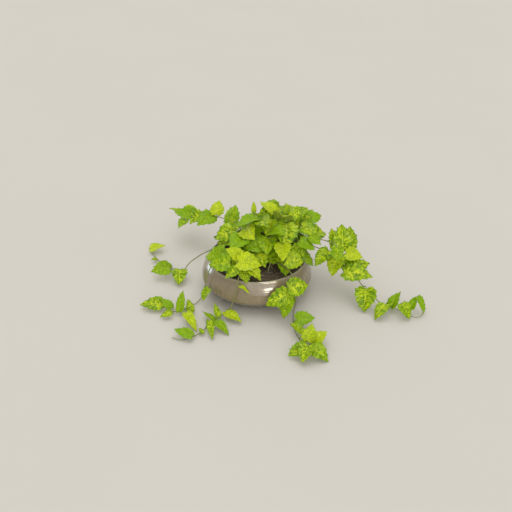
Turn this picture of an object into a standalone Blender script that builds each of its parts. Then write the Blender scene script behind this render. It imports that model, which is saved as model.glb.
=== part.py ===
"""Potted pothos: a glazed bowl of soil, a leafy crown and six trailing vines.

The origin is the centre of the bowl's flat base, +Z is up, +X is to the right and +Y is
away from the viewer. The plant is laid out in millimetres and made in metres.

Each vine and each short stem of the crown is one solid: its stem, petioles and blades are
joined. The vines are placed leaf by leaf. The crown's leaves follow a seeded rule.
Whatever would cross something already placed is bent clear of it, or left out.
"""
import math
import random
from dataclasses import dataclass
from itertools import product

import bmesh
import bpy
from mathutils import Matrix, Vector
from mathutils.bvhtree import BVHTree

MM = 0.001
GAP = 0.3
CRISP_ANGLE = 75.0

# Bowl
BASE_RADIUS = 84.0
BELLY_RADIUS = 130.0
BELLY_HEIGHT = 38.0
FOOT_ROUNDNESS = 1.2
SHOULDER_DEPTH = 50.0
SHOULDER_HEIGHT = 62.0
BOWL_HEIGHT = 85.0
WALL = 5.0
FLOOR_THICKNESS = 6.0
BOWL_SEGMENTS = 36
FOOT_STEPS = 4
SHOULDER_STEPS = 5
LIP_STEPS = 4

# Soil
SOIL_HEIGHT = 75.0
SOIL_MOUND = 4.0
SOIL_RINGS = (0.82, 0.62, 0.42, 0.2)
INNER_HEIGHTS = (SOIL_HEIGHT, 42.0, 25.0, 13.0)

# Stems, which stand upright in plain holes
HOLE_DEPTH = 16.0
HOLE_SIDES = 6
STRAIGHT_ABOVE_SOIL = 9.0
VINE_RADIUS = 1.4
VINE_TIP_RADIUS = 0.9
VINE_SIDES = 5
VINE_STEPS = 2
CROWN_STEM_RADIUS = 1.7
CROWN_TIP_RADIUS = 1.2
CROWN_STEM_SIDES = 5
CROWN_STEPS = 2
PETIOLE_RADIUS = 0.85
PETIOLE_STEPS = 2
PETIOLE_LENGTHS = (12.0, 62.0)
PETIOLE_SPACING = 11.0
LOWEST_PETIOLE = 0.3

# Blades: each row of the half outline is how far along the leaf it lies and how far to
# the side, as shares of the leaf's length
HALF_OUTLINE = ((-0.09, 0.19), (0.12, 0.41), (0.47, 0.38), (0.79, 0.17))
MIDRIB = (0.26, 0.60)
AXIS_POINTS = 2 + len(MIDRIB)
BLADE_THICKNESS = 0.8
BLADE_BENDS = (0.25, 0.7)
BLADE_FOLDS = (8.0, 22.0)
EDGE_WAVES = 1.6
EDGE_WAVE_HEIGHT = 0.035

# Room kept round each leaf and stem while they are placed, and the turns, tilts and
# shifts that are tried in order of size until it is clear
LEAF_ROOM = 2.4
LEAF_ROOM_GROWTH = 1.02
STEM_ROOM = 0.8
TABLE_ROOM = 0.8
NUDGES = sorted(product((0, 14, -14, 28, -28, 42, -42), (0, 12, -12, 24),
                        (0.0, 0.1, -0.1, 0.2, -0.2)),
                key=lambda n: abs(n[0]) + abs(n[1]) + 120 * abs(n[2]))

# Crown: a dome of leaves that leans to the right, in two layers, over stems spread evenly
SEED = 27
GOLDEN_TURN = math.pi * (3.0 - math.sqrt(5.0))
DOME_CENTRE = (32.0, 28.0, 92.0)
DOME_RADII = (104.0, 88.0, 88.0)
DOME_LEAN = 0.16
STEM_COUNT = 15
STEM_SPREAD = 74.0
STEM_SHARE_OF_DOME = 0.66
STEM_SHIFTS = (0.0, 0.12, -0.12, 0.24, -0.24, 0.36, -0.36)
LAYERS = ((66, 1.0, 1.0), (44, 0.78, 0.8))
FACE_TURN = 45.0
FACE_UNEVENNESS = 15.0
CROWN_LEAF_LENGTHS = (44.0, 56.0)
CROWN_LEAF_WIDTHS = (0.95, 1.15)
CROWN_SPREAD = 40.0
CROWN_PITCH = 30.0
CROWN_DROOP = 75.0
CROWN_UNEVENNESS = 22.0
ROOTS_TRIED = 5
HANGING_COST = 1.2
CROWDING_COST = 4.0
WINDOWS = (((22.0, -66.0, 88.0), 14.0), ((-22.0, -14.0, 122.0), 12.0))

# Hand-placed growths: where each is rooted, the points it passes, and its leaves. A leaf has
# its notch's place, its heading, pitch and roll in degrees, its length and its width
PLACED = {
    "vine_back_left": (
        (-24, 34),
        ((-30, 52, 108), (-44, 82, 121), (-62, 112, 118), (-98, 165, 102), (-134, 215, 88),
         (-164, 240, 78), (-191, 247, 71), (-210, 254, 67)),
        ((-63, 103, 112, 75, 55, 0, 56, 0.8), (-103, 181, 100, 80, 45, 0, 42, 1),
         (-112, 184, 100, -130, 0, -25, 54, 0.95), (-143, 212, 88, -125, -5, -15, 50, 0.95),
         (-161, 216, 80, 175, 10, -30, 56, 0.85), (-183, 231, 84, 155, 15, 0, 54, 0.6),
         (-160, 223, 84, 125, 40, 0, 46, 0.7), (-184, 202, 76, -120, -5, 0, 36, 0.9))),
    "vine_left": (
        (-58, 4),
        ((-68, 7, 99), (-90, 9, 103), (-112, 8, 95), (-130, 10, 84), (-146, 18, 68),
         (-163, 30, 47), (-176, 44, 22), (-190, 56, 9), (-208, 66, 4.5), (-221, 82, 4),
         (-240, 102, 4), (-259, 127, 4.5), (-272, 152, 6)),
        ((-187, 35, 24, -90, -10, 0, 46, 0.95), (-214, 41, 26, -155, 10, -35, 46, 1),
         (-276, 158, 10, 10, 20, 10, 40, 0.85), (-214, 57, 16, 145, 25, -15, 34, 0.6),
         (-254, 113, 8, -150, 20, -15, 16, 0.8))),
    "vine_front_left": (
        (-52, -24),
        ((-66, -32, 99), (-88, -46, 103), (-104, -58, 92), (-112, -66, 76), (-117, -69, 58),
         (-120, -68, 40), (-123, -65, 22), (-129, -63, 9), (-140, -76, 4), (-151, -89, 4),
         (-168, -104, 4), (-189, -111, 4.5), (-205, -108, 7)),
        ((-109, -78, 44, -140, -40, 0, 32, 0.95), (-149, -121, 10, 110, 65, 0, 32, 0.7),
         (-158, -139, 20, -60, -5, 0, 56, 0.5), (-176, -115, 10, 105, 60, 0, 48, 0.5),
         (-192, -128, 14, -160, -5, -20, 28, 0.75), (-195, -108, 12, 145, 35, -10, 34, 0.75),
         (-215, -95, 14, -175, 10, -25, 54, 0.75))),
    "vine_front": (
        (-22, -42),
        ((-27, -62, 101), (-34, -90, 103), (-40, -109, 95), (-43, -119, 81), (-46, -124, 64),
         (-52, -127, 45), (-60, -126, 26), (-67, -122, 12), (-75, -119, 4.5), (-84, -128, 4),
         (-100, -153, 4), (-112, -173, 4), (-127, -193, 4), (-139, -205, 4),
         (-163, -215, 4), (-184, -208, 5)),
        ((-37, -120, 80, -35, -10, 0, 28, 0.45), (-70, -129, 16, -40, 0, 10, 48, 0.6),
         (-86, -140, 10, 115, 55, 0, 34, 0.55), (-93, -151, 10, 135, 25, 20, 40, 0.5),
         (-91, -162, 14, -50, 0, 5, 48, 0.55), (-104, -168, 14, -80, 0, 0, 52, 0.4),
         (-117, -196, 8, 125, 25, 0, 18, 0.7), (-140, -212, 12, 160, 20, -25, 46, 0.6))),
    "vine_front_right": (
        (34, -42),
        ((46, -56, 100), (62, -76, 103), (76, -92, 96), (83, -102, 83), (87, -107, 66),
         (88, -110, 46), (87, -111, 26), (84, -116, 12), (82, -127, 5), (81, -153, 4),
         (83, -183, 4), (90, -207, 4), (99, -230, 4), (112, -242, 4.5)),
        ((70, -134, 84, 15, 0, 50, 48, 1.05), (70, -139, 74, -160, -15, -35, 58, 0.85),
         (71, -143, 58, -120, -35, 0, 44, 0.85), (80, -128, 56, -85, -35, 0, 18, 0.6),
         (86, -169, 26, -5, 10, 40, 42, 0.9), (99, -207, 16, 140, 25, -10, 38, 0.65),
         (113, -260, 20, -40, -5, 10, 48, 0.9), (102, -261, 18, -155, 0, -20, 42, 1),
         (106, -264, 18, -110, -5, 0, 42, 0.95), (108, -232, 14, 70, 50, 0, 40, 0.9),
         (114, -238, 16, 30, 40, 10, 42, 1), (120, -242, 14, 10, 15, 20, 28, 0.8))),
    "vine_right": (
        (52, 0),
        ((66, -2, 106), (96, -4, 118), (130, -8, 116), (158, -16, 108), (186, -30, 96),
         (210, -42, 76), (232, -48, 52), (250, -56, 32), (268, -67, 18), (282, -80, 10),
         (296, -90, 5.5), (316, -99, 4), (336, -115, 4), (352, -131, 4), (368, -132, 6),
         (378, -120, 12)),
        ((249, -81, 46, -100, -35, 0, 54, 1.1), (289, -114, 22, -130, -10, -5, 46, 0.7),
         (292, -115, 14, 70, 45, 0, 24, 0.7), (325, -121, 32, -55, -30, 0, 38, 1.05),
         (305, -107, 14, 40, 55, 0, 42, 0.75), (329, -120, 18, 50, 60, 0, 36, 0.95),
         (349, -114, 16, 55, 60, 0, 30, 0.8), (363, -100, 34, -60, -30, 0, 38, 0.6))),
    "shoot_right": (
        (76, 16),
        ((96, 14, 108), (130, 10.5, 124), (163, 2, 124.5), (190, -11, 112)),
        ()),
    "shoot_front_left": (
        (-48, -40),
        ((-56, -52, 96), (-66, -64, 102), (-78, -80, 100)),
        ()),
    "shoot_front": (
        (-6, -56),
        ((-12, -68, 96), (-20, -80, 102), (-28, -92, 100)),
        ()),
    "shoot_front_right": (
        (60, -40),
        ((62, -52, 95), (66, -64, 100)),
        ()),
    "shoot_left": (
        (-62, 28),
        ((-66, 40, 100), (-68, 54, 114)),
        ()),
}

# More leaves placed by hand, each on the nearest of some stems: those that show over the
# bowl, and those round the right vine's bend
BOWL_CARRIERS = ("shoot_left", "shoot_front_left", "shoot_front", "shoot_front_right",
                 "shoot_right")
BOWL_LEAVES = (
    (-31, -92, 104, -70, -35, 0, 34, 0.95), (-40, -96, 104, -160, -25, -10, 36, 0.95),
    (-40, -85, 118, -10, 5, 35, 54, 1), (-72, -52, 116, 170, 0, -40, 52, 1),
    (-18, -96, 104, -25, -15, 10, 38, 0.95), (-60, -73, 108, 175, -5, -40, 50, 1),
    (-40, -80, 112, -165, -5, -35, 48, 1), (-36, -67, 120, 165, 10, -30, 40, 1),
    (67, -3, 172, -90, -30, 0, 58, 1.1), (65, -76, 120, -5, 0, 45, 42, 1.15),
    (64, -44, 106, -105, -30, 0, 44, 1.05), (41, -24, 134, -130, -25, -5, 50, 1),
    (-51, 25, 138, -160, -5, -30, 52, 1.1), (35, 13, 174, -120, -30, 0, 42, 1.05),
    (52, 54, 184, -155, 0, -35, 54, 1), (83, 20, 178, 30, 30, 20, 48, 0.9),
    (12, 17, 156, 180, 5, -35, 52, 0.95), (115, 33, 166, 20, 10, 35, 44, 0.95),
    (84, 29, 176, 125, 60, 0, 36, 0.7), (5, 33, 166, 150, 30, -15, 36, 0.9),
    (102, 5, 160, -25, -5, 25, 44, 1), (-7, 45, 178, 90, 75, 0, 26, 0.55),
    (-58, 16, 122, -160, -20, -20, 42, 0.95), (48, -38, 100, -140, -5, -25, 32, 0.95),
    (12, -27, 128, -170, -5, -35, 44, 1), (-34, -4, 136, -140, -20, -5, 42, 1),
    (98, -25, 140, -25, -15, 20, 40, 1), (119, -18, 144, -30, -10, 15, 34, 1),
    (84, -35, 138, -35, -25, 10, 38, 1), (12, -15, 142, -165, -15, -30, 38, 0.95),
)
BEND_CARRIERS = ("shoot_right", "vine_right")
BEND_LEAVES = (
    (187, 0, 104, 110, 55, 0, 52, 0.9), (199, 0, 104, 90, 55, 0, 62, 0.85),
    (214, 10, 98, 80, 55, 0, 58, 0.85), (220, 18, 96, 50, 50, 0, 60, 0.9),
    (187, -26, 98, -115, -35, 0, 50, 0.95), (200, -53, 74, -20, 10, 35, 68, 0.75),
    (200, -45, 80, 5, 20, 35, 64, 0.75), (165, -17, 106, -135, -20, -15, 50, 0.85),
    (182, -39, 132, -90, -30, 0, 36, 1), (204, -30, 114, -20, 0, 35, 40, 1),
    (233, 18, 88, 30, 20, 20, 34, 0.9), (199, -8, 90, -70, -30, 0, 32, 1),
)


@dataclass
class Route:
    """A smooth centre line and the radius at its two ends."""

    points: list
    root_radius: float
    tip_radius: float

    def __post_init__(self):
        self.spans = [(b - a).length for a, b in zip(self.points, self.points[1:])]
        self.length = sum(self.spans)

    def at(self, share):
        """Point and direction at a share of the length."""
        left = share * self.length
        for start, end, span in zip(self.points, self.points[1:], self.spans):
            if left <= span:
                break
            left -= span
        return start.lerp(end, min(left / span, 1.0)), (end - start).normalized()

    def radii(self, room=0.0):
        """Radius at each point, falling evenly from the root to the tip."""
        shares = [sum(self.spans[:i]) / self.length for i in range(len(self.points))]
        fall = self.tip_radius - self.root_radius
        return [self.root_radius + fall * share + room for share in shares]


@dataclass
class Leaf:
    """One blade on its petiole. Angles are in degrees and lengths in millimetres."""

    root: Vector
    base: Vector
    heading: float
    pitch: float
    roll: float
    length: float
    width: float
    bend: float
    fold: float
    phase: float

    def __post_init__(self):
        self.along = direction(self.heading, self.pitch)
        turn = Matrix.Rotation(math.radians(self.roll), 3, self.along)
        self.side = turn @ direction(self.heading + 90.0, 0.0)
        self.normal = self.along.cross(self.side)

    def spot(self, forward, sideways, lift=0.0):
        """Point of the bent and folded blade, at shares of its length."""
        turn = self.bend * forward
        run = math.sin(turn) / self.bend * self.length
        drop = (1.0 - math.cos(turn)) / self.bend * self.length
        normal = self.normal * math.cos(turn) + self.along * math.sin(turn)
        fold = math.radians(self.fold)
        across = sideways * self.width * self.length
        raised = abs(across) * math.sin(fold) + lift * self.length
        middle = self.base + self.along * run - self.normal * drop
        return middle + self.side * (across * math.cos(fold)) + normal * raised

    def edge_lift(self, row, side):
        """Height of the waved edge at an outline row, as a share of the length."""
        share = (row + 1) / (len(HALF_OUTLINE) + 1)
        turn = math.tau * EDGE_WAVES * share + self.phase + side
        return EDGE_WAVE_HEIGHT * math.sin(turn)

    def petiole_points(self, steps=PETIOLE_STEPS):
        """Centre line of the petiole, from inside the stem to the blade's notch."""
        reach = (self.base - self.root).length
        rising = (self.base - self.root).normalized() + Vector((0.0, 0.0, 0.6))
        first = self.root + rising.normalized() * (0.35 * reach)
        second = self.base - self.along * (0.35 * reach)
        points = []
        for step in range(steps + 1):
            t = step / steps
            points.append(self.root * (1 - t) ** 3 + first * (3 * t * (1 - t) ** 2)
                          + second * (3 * t * t * (1 - t)) + self.base * t ** 3)
        return points


@dataclass
class Growth:
    """One leafy stem: its name, its centre line, its sides and its leaves."""

    name: str
    route: Route
    sides: int
    leaves: list


def smooth_route(knots, steps):
    """Catmull-Rom curve through the knots, with some steps in each span."""
    padded = [knots[0] * 2 - knots[1], *knots, knots[-1] * 2 - knots[-2]]
    points = []
    for a, b, c, d in zip(padded, padded[1:], padded[2:], padded[3:]):
        for step in range(steps):
            t = step / steps
            points.append(0.5 * (2 * b + (c - a) * t + (2 * a - 5 * b + 4 * c - d) * t * t
                                 + (3 * b - a - 3 * c + d) * t ** 3))
    return points + [knots[-1]]


def rooted_route(root, knots, steps):
    """Centre line that starts upright in its hole in the soil and passes the knots."""
    foot = Vector((*root, SOIL_HEIGHT - HOLE_DEPTH + 2.0 * GAP))
    ground = Vector((*root, SOIL_HEIGHT + STRAIGHT_ABOVE_SOIL))
    return [foot] + smooth_route([ground] + [Vector(knot) for knot in knots], steps)


def tube(points, radii, sides):
    """Vertices and faces of a closed tube along points."""
    verts, faces = [], []
    way = (points[1] - points[0]).normalized()
    across = way.orthogonal().normalized()
    for i, (point, radius) in enumerate(zip(points, radii)):
        new_way = (points[min(i + 1, len(points) - 1)] - points[max(i - 1, 0)]).normalized()
        across = way.rotation_difference(new_way) @ across
        across = (across - new_way * across.dot(new_way)).normalized()
        way = new_way
        up = way.cross(across)
        for k in range(sides):
            turn = math.tau * k / sides
            verts.append(point + (across * math.cos(turn) + up * math.sin(turn)) * radius)
    last = (len(points) - 1) * sides
    for ring in range(0, last, sides):
        for k in range(sides):
            a, b = ring + k, ring + (k + 1) % sides
            faces += [(a, b, b + sides), (a, b + sides, a + sides)]
    faces.append(tuple(reversed(range(sides))))
    faces.append(tuple(range(last, last + sides)))
    return verts, faces


def direction(heading, pitch):
    """Unit vector of a compass heading and a pitch, both in degrees."""
    heading, pitch = math.radians(heading), math.radians(pitch)
    level = math.cos(pitch)
    return Vector((level * math.cos(heading), level * math.sin(heading), math.sin(pitch)))


def blade_topology():
    """Triangles of a blade's upper face and its outline loop, by vertex number.

    Vertex 0 is the notch, 1 the tip and 2 and 3 the midrib. The left rows and then the
    right rows of the outline follow.
    """
    notch, tip, inner, outer = range(AXIS_POINTS)
    rows = len(HALF_OUTLINE)
    left = range(AXIS_POINTS, AXIS_POINTS + rows)
    faces = [(notch, inner, left[0]), (inner, left[1], left[0]), (inner, left[2], left[1]),
             (inner, outer, left[2]), (outer, left[3], left[2]), (outer, tip, left[3])]
    mirrored = {n: n + rows for n in left}
    faces += [tuple(mirrored.get(n, n) for n in reversed(face)) for face in faces]
    return faces, [notch, *mirrored.values(), tip, *reversed(left)]


def leaf_solid(leaf, thickness=BLADE_THICKNESS, growth=1.0, room=0.0):
    """Vertices and faces of a closed blade on its three-sided petiole.

    The blade is split alike above and below. Its lower notch is two vertices, which with
    the upper notch make the petiole's last ring.
    """
    upper, loop = blade_topology()
    middle = [leaf.spot(0.0, 0.0), leaf.spot(growth, 0.0)]
    middle += [leaf.spot(share, 0.0) for share in MIDRIB]
    for side in (1, -1):
        for row, (forward, sideways) in enumerate(HALF_OUTLINE):
            lift = leaf.edge_lift(row, side)
            middle.append(leaf.spot(forward * growth, side * sideways * growth, lift))
    normals = [Vector() for _ in middle]
    for a, b, c in upper:
        facing = (middle[b] - middle[a]).cross(middle[c] - middle[a])
        for n in (a, b, c):
            normals[n] += facing
    half = [normal.normalized() * (thickness / 2.0) for normal in normals]
    verts = [p + h for p, h in zip(middle, half)] + [p - h for p, h in zip(middle, half)]
    under = len(middle)
    half_width = 0.5 * math.sqrt(3.0) * (PETIOLE_RADIUS + room)
    depth = leaf.normal * (0.5 * (PETIOLE_RADIUS + room))
    left_notch, right_notch = under, len(verts)
    verts.append(verts[left_notch] - leaf.side * half_width - depth)
    verts[left_notch] = verts[left_notch] + leaf.side * half_width - depth
    faces = list(upper)
    rows_end = under + AXIS_POINTS + len(HALF_OUTLINE)
    for face in upper:
        below = [n + under for n in reversed(face)]
        if max(below) >= rows_end:
            below = [right_notch if n == left_notch else n for n in below]
        faces.append(tuple(below))
    faces.append((under + 2, right_notch, left_notch))
    for a, b in zip(loop, loop[1:] + loop[:1]):
        low_a = right_notch if a == loop[0] else a + under
        faces += [(low_a, b + under, b), (low_a, b, a)]
    points = leaf.petiole_points()
    ring = (0, left_notch, right_notch)
    way, side = leaf.along, leaf.side
    for near, far in zip(reversed(points[:-1]), reversed(points[1:])):
        new_way = (far - near).normalized()
        side = way.rotation_difference(new_way) @ side
        way = new_way
        up = way.cross(side)
        start = len(verts)
        radius = PETIOLE_RADIUS + room
        verts.append(near + up * radius)
        verts.append(near + side * half_width - up * (radius / 2.0))
        verts.append(near - side * half_width - up * (radius / 2.0))
        back = (start, start + 1, start + 2)
        for k in range(3):
            m = (k + 1) % 3
            faces += [(back[k], ring[k], ring[m]), (back[k], ring[m], back[m])]
        ring = back
    faces.append(ring)
    return verts, faces


class Thicket:
    """Search trees of all that is placed, so that the next leaf or stem is kept clear."""

    def __init__(self):
        self.placed = []

    @staticmethod
    def box(verts):
        """Lowest and highest corner of some vertices."""
        low = [min(v[i] for v in verts) for i in range(3)]
        high = [max(v[i] for v in verts) for i in range(3)]
        return low, high

    def add(self, owner, kind, shape):
        """Keep the room that a shape takes up."""
        self.placed.append((owner, kind, *self.box(shape[0]), BVHTree.FromPolygons(*shape)))

    def is_clear(self, owner, kind, shape):
        """Whether a shape crosses nothing but what it grows from."""
        low, high = self.box(shape[0])
        tree = BVHTree.FromPolygons(*shape)
        for other, other_kind, other_low, other_high, other_tree in self.placed:
            if (other == owner and kind != other_kind) or (kind, other) == ("stem", "soil"):
                continue
            apart = any(high[i] < other_low[i] or low[i] > other_high[i] for i in range(3))
            if not apart and tree.overlap(other_tree):
                return False
        return True


def stem(growth, room=0.0):
    """Tube of a growth's stem."""
    return tube(growth.route.points, growth.route.radii(room), growth.sides)


def settle(thicket, growth, leaf):
    """Whether a leaf is clear of everything. If it is, it joins its stem."""
    solid = leaf_solid(leaf)
    if min(v.z for v in solid[0]) < TABLE_ROOM:
        return False
    roomy = leaf_solid(leaf, LEAF_ROOM, LEAF_ROOM_GROWTH, STEM_ROOM)
    if not thicket.is_clear(growth.name, "leaf", roomy):
        return False
    thicket.add(growth.name, "leaf", solid)
    growth.leaves.append(leaf)
    return True


def leaf_form(dice):
    """Bend, fold and wave phase of one blade."""
    return dice.uniform(*BLADE_BENDS), dice.uniform(*BLADE_FOLDS), dice.uniform(0.0, math.tau)


def plant_placed(thicket):
    """The stems of the hand-placed growths, still without leaves."""
    growths = []
    for name, (root, knots, _) in PLACED.items():
        route = Route(rooted_route(root, knots, VINE_STEPS), VINE_RADIUS, VINE_TIP_RADIUS)
        growths.append(Growth(name, route, VINE_SIDES, []))
        thicket.add(name, "stem", stem(growths[-1]))
    return growths


def dome_spot(turn, climb, scale=1.0):
    """Point of the crown's dome at a turn round it and a climb from its edge to its top."""
    x, y, z = DOME_CENTRE
    level = scale * math.cos(climb)
    height = scale * DOME_RADII[2] * math.sin(climb)
    return Vector((x + DOME_RADII[0] * level * math.cos(turn) + DOME_LEAN * height,
                   y + DOME_RADII[1] * level * math.sin(turn), z + height))


def grow_stems(thicket):
    """The crown's bare stems, spread evenly over the soil and fanned out to the dome."""
    growths = []
    for n in range(STEM_COUNT):
        share = (n + 0.5) / STEM_COUNT
        for shift in STEM_SHIFTS:
            turn = n * GOLDEN_TURN + shift
            spread = STEM_SPREAD * math.sqrt(share)
            root = (spread * math.cos(turn), spread * math.sin(turn))
            end = dome_spot(turn, math.acos(share), STEM_SHARE_OF_DOME)
            ground = Vector((*root, SOIL_HEIGHT))
            arch = ground.lerp(end, 0.5) + Vector((0.0, 0.0, 0.12 * (end - ground).length))
            route = Route(rooted_route(root, (arch, end), CROWN_STEPS), CROWN_STEM_RADIUS,
                          CROWN_TIP_RADIUS)
            growth = Growth(f"crown_stem_{n + 1:02d}", route, CROWN_STEM_SIDES, [])
            if thicket.is_clear(growth.name, "stem", stem(growth, STEM_ROOM)):
                thicket.add(growth.name, "stem", stem(growth))
                growths.append(growth)
                break
    return growths


def nearest_roots(growths, base):
    """The best places on some stems for the petiole of a blade at base."""
    found = []
    for order, growth in enumerate(growths):
        steps = int(growth.route.length / PETIOLE_SPACING)
        for step in range(steps + 1):
            root, _ = growth.route.at(LOWEST_PETIOLE + (1.0 - LOWEST_PETIOLE) * step / steps)
            reach = base - root
            hanging = HANGING_COST * max(0.0, -reach.z)
            cost = reach.length + hanging + CROWDING_COST * len(growth.leaves)
            if PETIOLE_LENGTHS[0] < reach.length < PETIOLE_LENGTHS[1]:
                found.append((cost, order, root))
    found.sort(key=lambda row: row[:2])
    return [(growths[order], root) for _, order, root in found[:ROOTS_TRIED]]


def face_of(heading, pitch, roll):
    """Unit vector square to a blade's face, from its three angles."""
    along = direction(heading, pitch)
    turn = Matrix.Rotation(math.radians(roll), 3, along)
    return along.cross(turn @ direction(heading + 90.0, 0.0))


def grow_listed(thicket, dice, growths, rows):
    """Hand-placed blades. One that isn't clear is also tried nearer and further."""
    for x, y, z, heading, pitch, roll, length, width in rows:
        form = leaf_form(dice)
        face = face_of(heading, pitch, roll)
        for swing, tilt, shift in NUDGES:
            base = Vector((x, y, z)) + face * (length * shift)
            if place_on_stem(thicket, growths, base, (heading + swing, pitch + tilt, roll,
                                                      length, width, *form)):
                break


def face_roll(spot, heading):
    """Roll that turns a crown blade's face away from the dome's centre."""
    outward = math.atan2(spot.y - DOME_CENTRE[1], spot.x - DOME_CENTRE[0])
    return FACE_TURN * math.sin(math.radians(heading) - outward)


def grow_crown(thicket, dice, growths):
    """The crown's other blades, spread evenly over the dome, each on the nearest stem."""
    for count, scale, size in LAYERS:
        for n in range(count):
            share = (n + 0.5) / count
            turn = n * GOLDEN_TURN + dice.uniform(-0.2, 0.2)
            climb = math.asin(1.0 - share)
            heading = math.degrees(turn) + dice.uniform(-CROWN_SPREAD, CROWN_SPREAD)
            pitch = CROWN_PITCH - CROWN_DROOP * share
            pitch += dice.uniform(-CROWN_UNEVENNESS, CROWN_UNEVENNESS)
            roll = face_roll(dome_spot(turn, climb), heading)
            roll += dice.uniform(-FACE_UNEVENNESS, FACE_UNEVENNESS)
            length = size * dice.uniform(*CROWN_LEAF_LENGTHS)
            form = (dice.uniform(*CROWN_LEAF_WIDTHS), *leaf_form(dice))
            for swing, tilt, shift in NUDGES:
                centre = dome_spot(turn, climb, scale * (1.0 + shift))
                if any((centre - Vector(spot)).length < radius for spot, radius in WINDOWS):
                    continue
                base = centre - direction(heading + swing, pitch + tilt) * (0.45 * length)
                if place_on_stem(thicket, growths, base, (heading + swing, pitch + tilt, roll,
                                                          length, *form)):
                    break


def place_on_stem(thicket, growths, base, rest):
    """Whether a leaf with its notch at base can grow from one of the nearest stems."""
    for growth, root in nearest_roots(growths, base):
        if settle(thicket, growth, Leaf(root, base, *rest)):
            return True
    return False


def outer_radius(height):
    """Outer radius of the bowl: flared up to the belly, then drawn in to the lip."""
    if height < BELLY_HEIGHT:
        drop = (1.0 - height / BELLY_HEIGHT) ** FOOT_ROUNDNESS
        flare = (1.0 - drop) ** (1.0 / FOOT_ROUNDNESS)
        return BASE_RADIUS + (BELLY_RADIUS - BASE_RADIUS) * flare
    climb = (height - BELLY_HEIGHT) / SHOULDER_HEIGHT
    return BELLY_RADIUS - SHOULDER_DEPTH * (1.0 - math.sqrt(1.0 - climb * climb))


def inner_radius(height, depth):
    """Radius at a height, a depth inside the outer face and square to it."""
    slope = outer_radius(height + 0.5) - outer_radius(height - 0.5)
    return outer_radius(height) - depth * math.hypot(1.0, slope)


def inner_profile(inset=0.0):
    """Points of the inside from the soil's edge down to the floor's centre."""
    points = [(inner_radius(height, WALL + inset), height) for height in INNER_HEIGHTS]
    floor_edge = inner_radius(FLOOR_THICKNESS, WALL + inset)
    return points + [(floor_edge, FLOOR_THICKNESS + inset), (0.0, FLOOR_THICKNESS + inset)]


def bowl_profile():
    """Outline of the bowl from the middle of its base, round the lip, to its floor."""
    points = [(0.0, 0.0), (BASE_RADIUS, 0.0)]
    for step in range(1, FOOT_STEPS + 1):
        height = BELLY_HEIGHT * (step / FOOT_STEPS) ** 1.5
        points.append((outer_radius(height), height))
    lip_radius = WALL / 2.0
    lip_height = BOWL_HEIGHT - lip_radius
    for step in range(1, SHOULDER_STEPS):
        height = BELLY_HEIGHT + (lip_height - BELLY_HEIGHT) * step / SHOULDER_STEPS
        points.append((outer_radius(height), height))
    for step in range(LIP_STEPS + 1):
        turn = math.pi * step / LIP_STEPS
        points.append((outer_radius(lip_height) - lip_radius + lip_radius * math.cos(turn),
                       lip_height + lip_radius * math.sin(turn)))
    return points + inner_profile()


def turned(profile, segments):
    """A bmesh of a profile turned round the vertical axis, in millimetres."""
    bm = bmesh.new()
    verts = [bm.verts.new((radius, 0.0, height)) for radius, height in profile]
    edges = [bm.edges.new(pair) for pair in zip(verts, verts[1:])]
    bmesh.ops.spin(bm, geom=verts + edges, cent=(0, 0, 0), axis=(0, 0, 1),
                   angle=math.tau, steps=segments, use_merge=True)
    bmesh.ops.remove_doubles(bm, verts=bm.verts, dist=0.01)
    bmesh.ops.recalc_face_normals(bm, faces=bm.faces)
    return bm


def soil_lumps(x, y):
    """Height of the soil's surface above its level edge."""
    share = min(math.hypot(x, y) / inner_radius(SOIL_HEIGHT, WALL + GAP), 1.0)
    lumps = (1.5 * math.sin(0.11 * x + 0.5) * math.cos(0.09 * y - 0.8)
             + 1.0 * math.sin(0.23 * x - 0.17 * y) + 0.6 * math.sin(0.31 * x + 0.41 * y))
    return (SOIL_MOUND + lumps) * (1.0 - share * share)


def material(name, colour, roughness, coat=0.0):
    """A plain Principled material."""
    made = bpy.data.materials.new(name)
    made.use_nodes = True
    shader = made.node_tree.nodes["Principled BSDF"]
    shader.inputs["Base Color"].default_value = (*colour, 1.0)
    shader.inputs["Roughness"].default_value = roughness
    shader.inputs["Coat Weight"].default_value = coat
    return made


def add_object(name, mesh, finish):
    """A named object for a mesh."""
    obj = bpy.data.objects.new(name, mesh)
    mesh.materials.clear()
    mesh.materials.append(finish)
    bpy.context.scene.collection.objects.link(obj)
    return obj


def smooth(mesh):
    """Smooth shading that keeps rims and blade edges crisp."""
    mesh.shade_smooth()
    mesh.set_sharp_from_angle(angle=math.radians(CRISP_ANGLE))


def mesh_of(name, shape):
    """A mesh, in metres, of vertices and faces in millimetres."""
    mesh = bpy.data.meshes.new(name)
    mesh.from_pydata([v * MM for v in shape[0]], [], shape[1])
    return mesh


def combine(target, operation, shapes, solver):
    """Apply one Boolean between an object and a collection made of some shapes."""
    parts = bpy.data.collections.new(target.name + "_parts")
    bpy.context.scene.collection.children.link(parts)
    for number, shape in enumerate(shapes):
        name = f"{target.name}_part_{number:02d}"
        parts.objects.link(bpy.data.objects.new(name, mesh_of(name, shape)))
    boolean = target.modifiers.new("combine", "BOOLEAN")
    boolean.operation = operation
    boolean.operand_type = "COLLECTION"
    boolean.collection = parts
    boolean.solver = solver
    seen = target.evaluated_get(bpy.context.evaluated_depsgraph_get())
    result = bpy.data.meshes.new_from_object(seen)
    target.modifiers.clear()
    target.data = result
    for obj in list(parts.objects):
        bpy.data.objects.remove(obj)
    bpy.data.collections.remove(parts)


def make_bowl(finish):
    """The glazed bowl."""
    bm = turned(bowl_profile(), BOWL_SEGMENTS)
    bmesh.ops.scale(bm, vec=(MM, MM, MM), verts=bm.verts)
    mesh = bpy.data.meshes.new("pot")
    bm.to_mesh(mesh)
    bm.free()
    smooth(mesh)
    return add_object("pot", mesh, finish)


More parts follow.
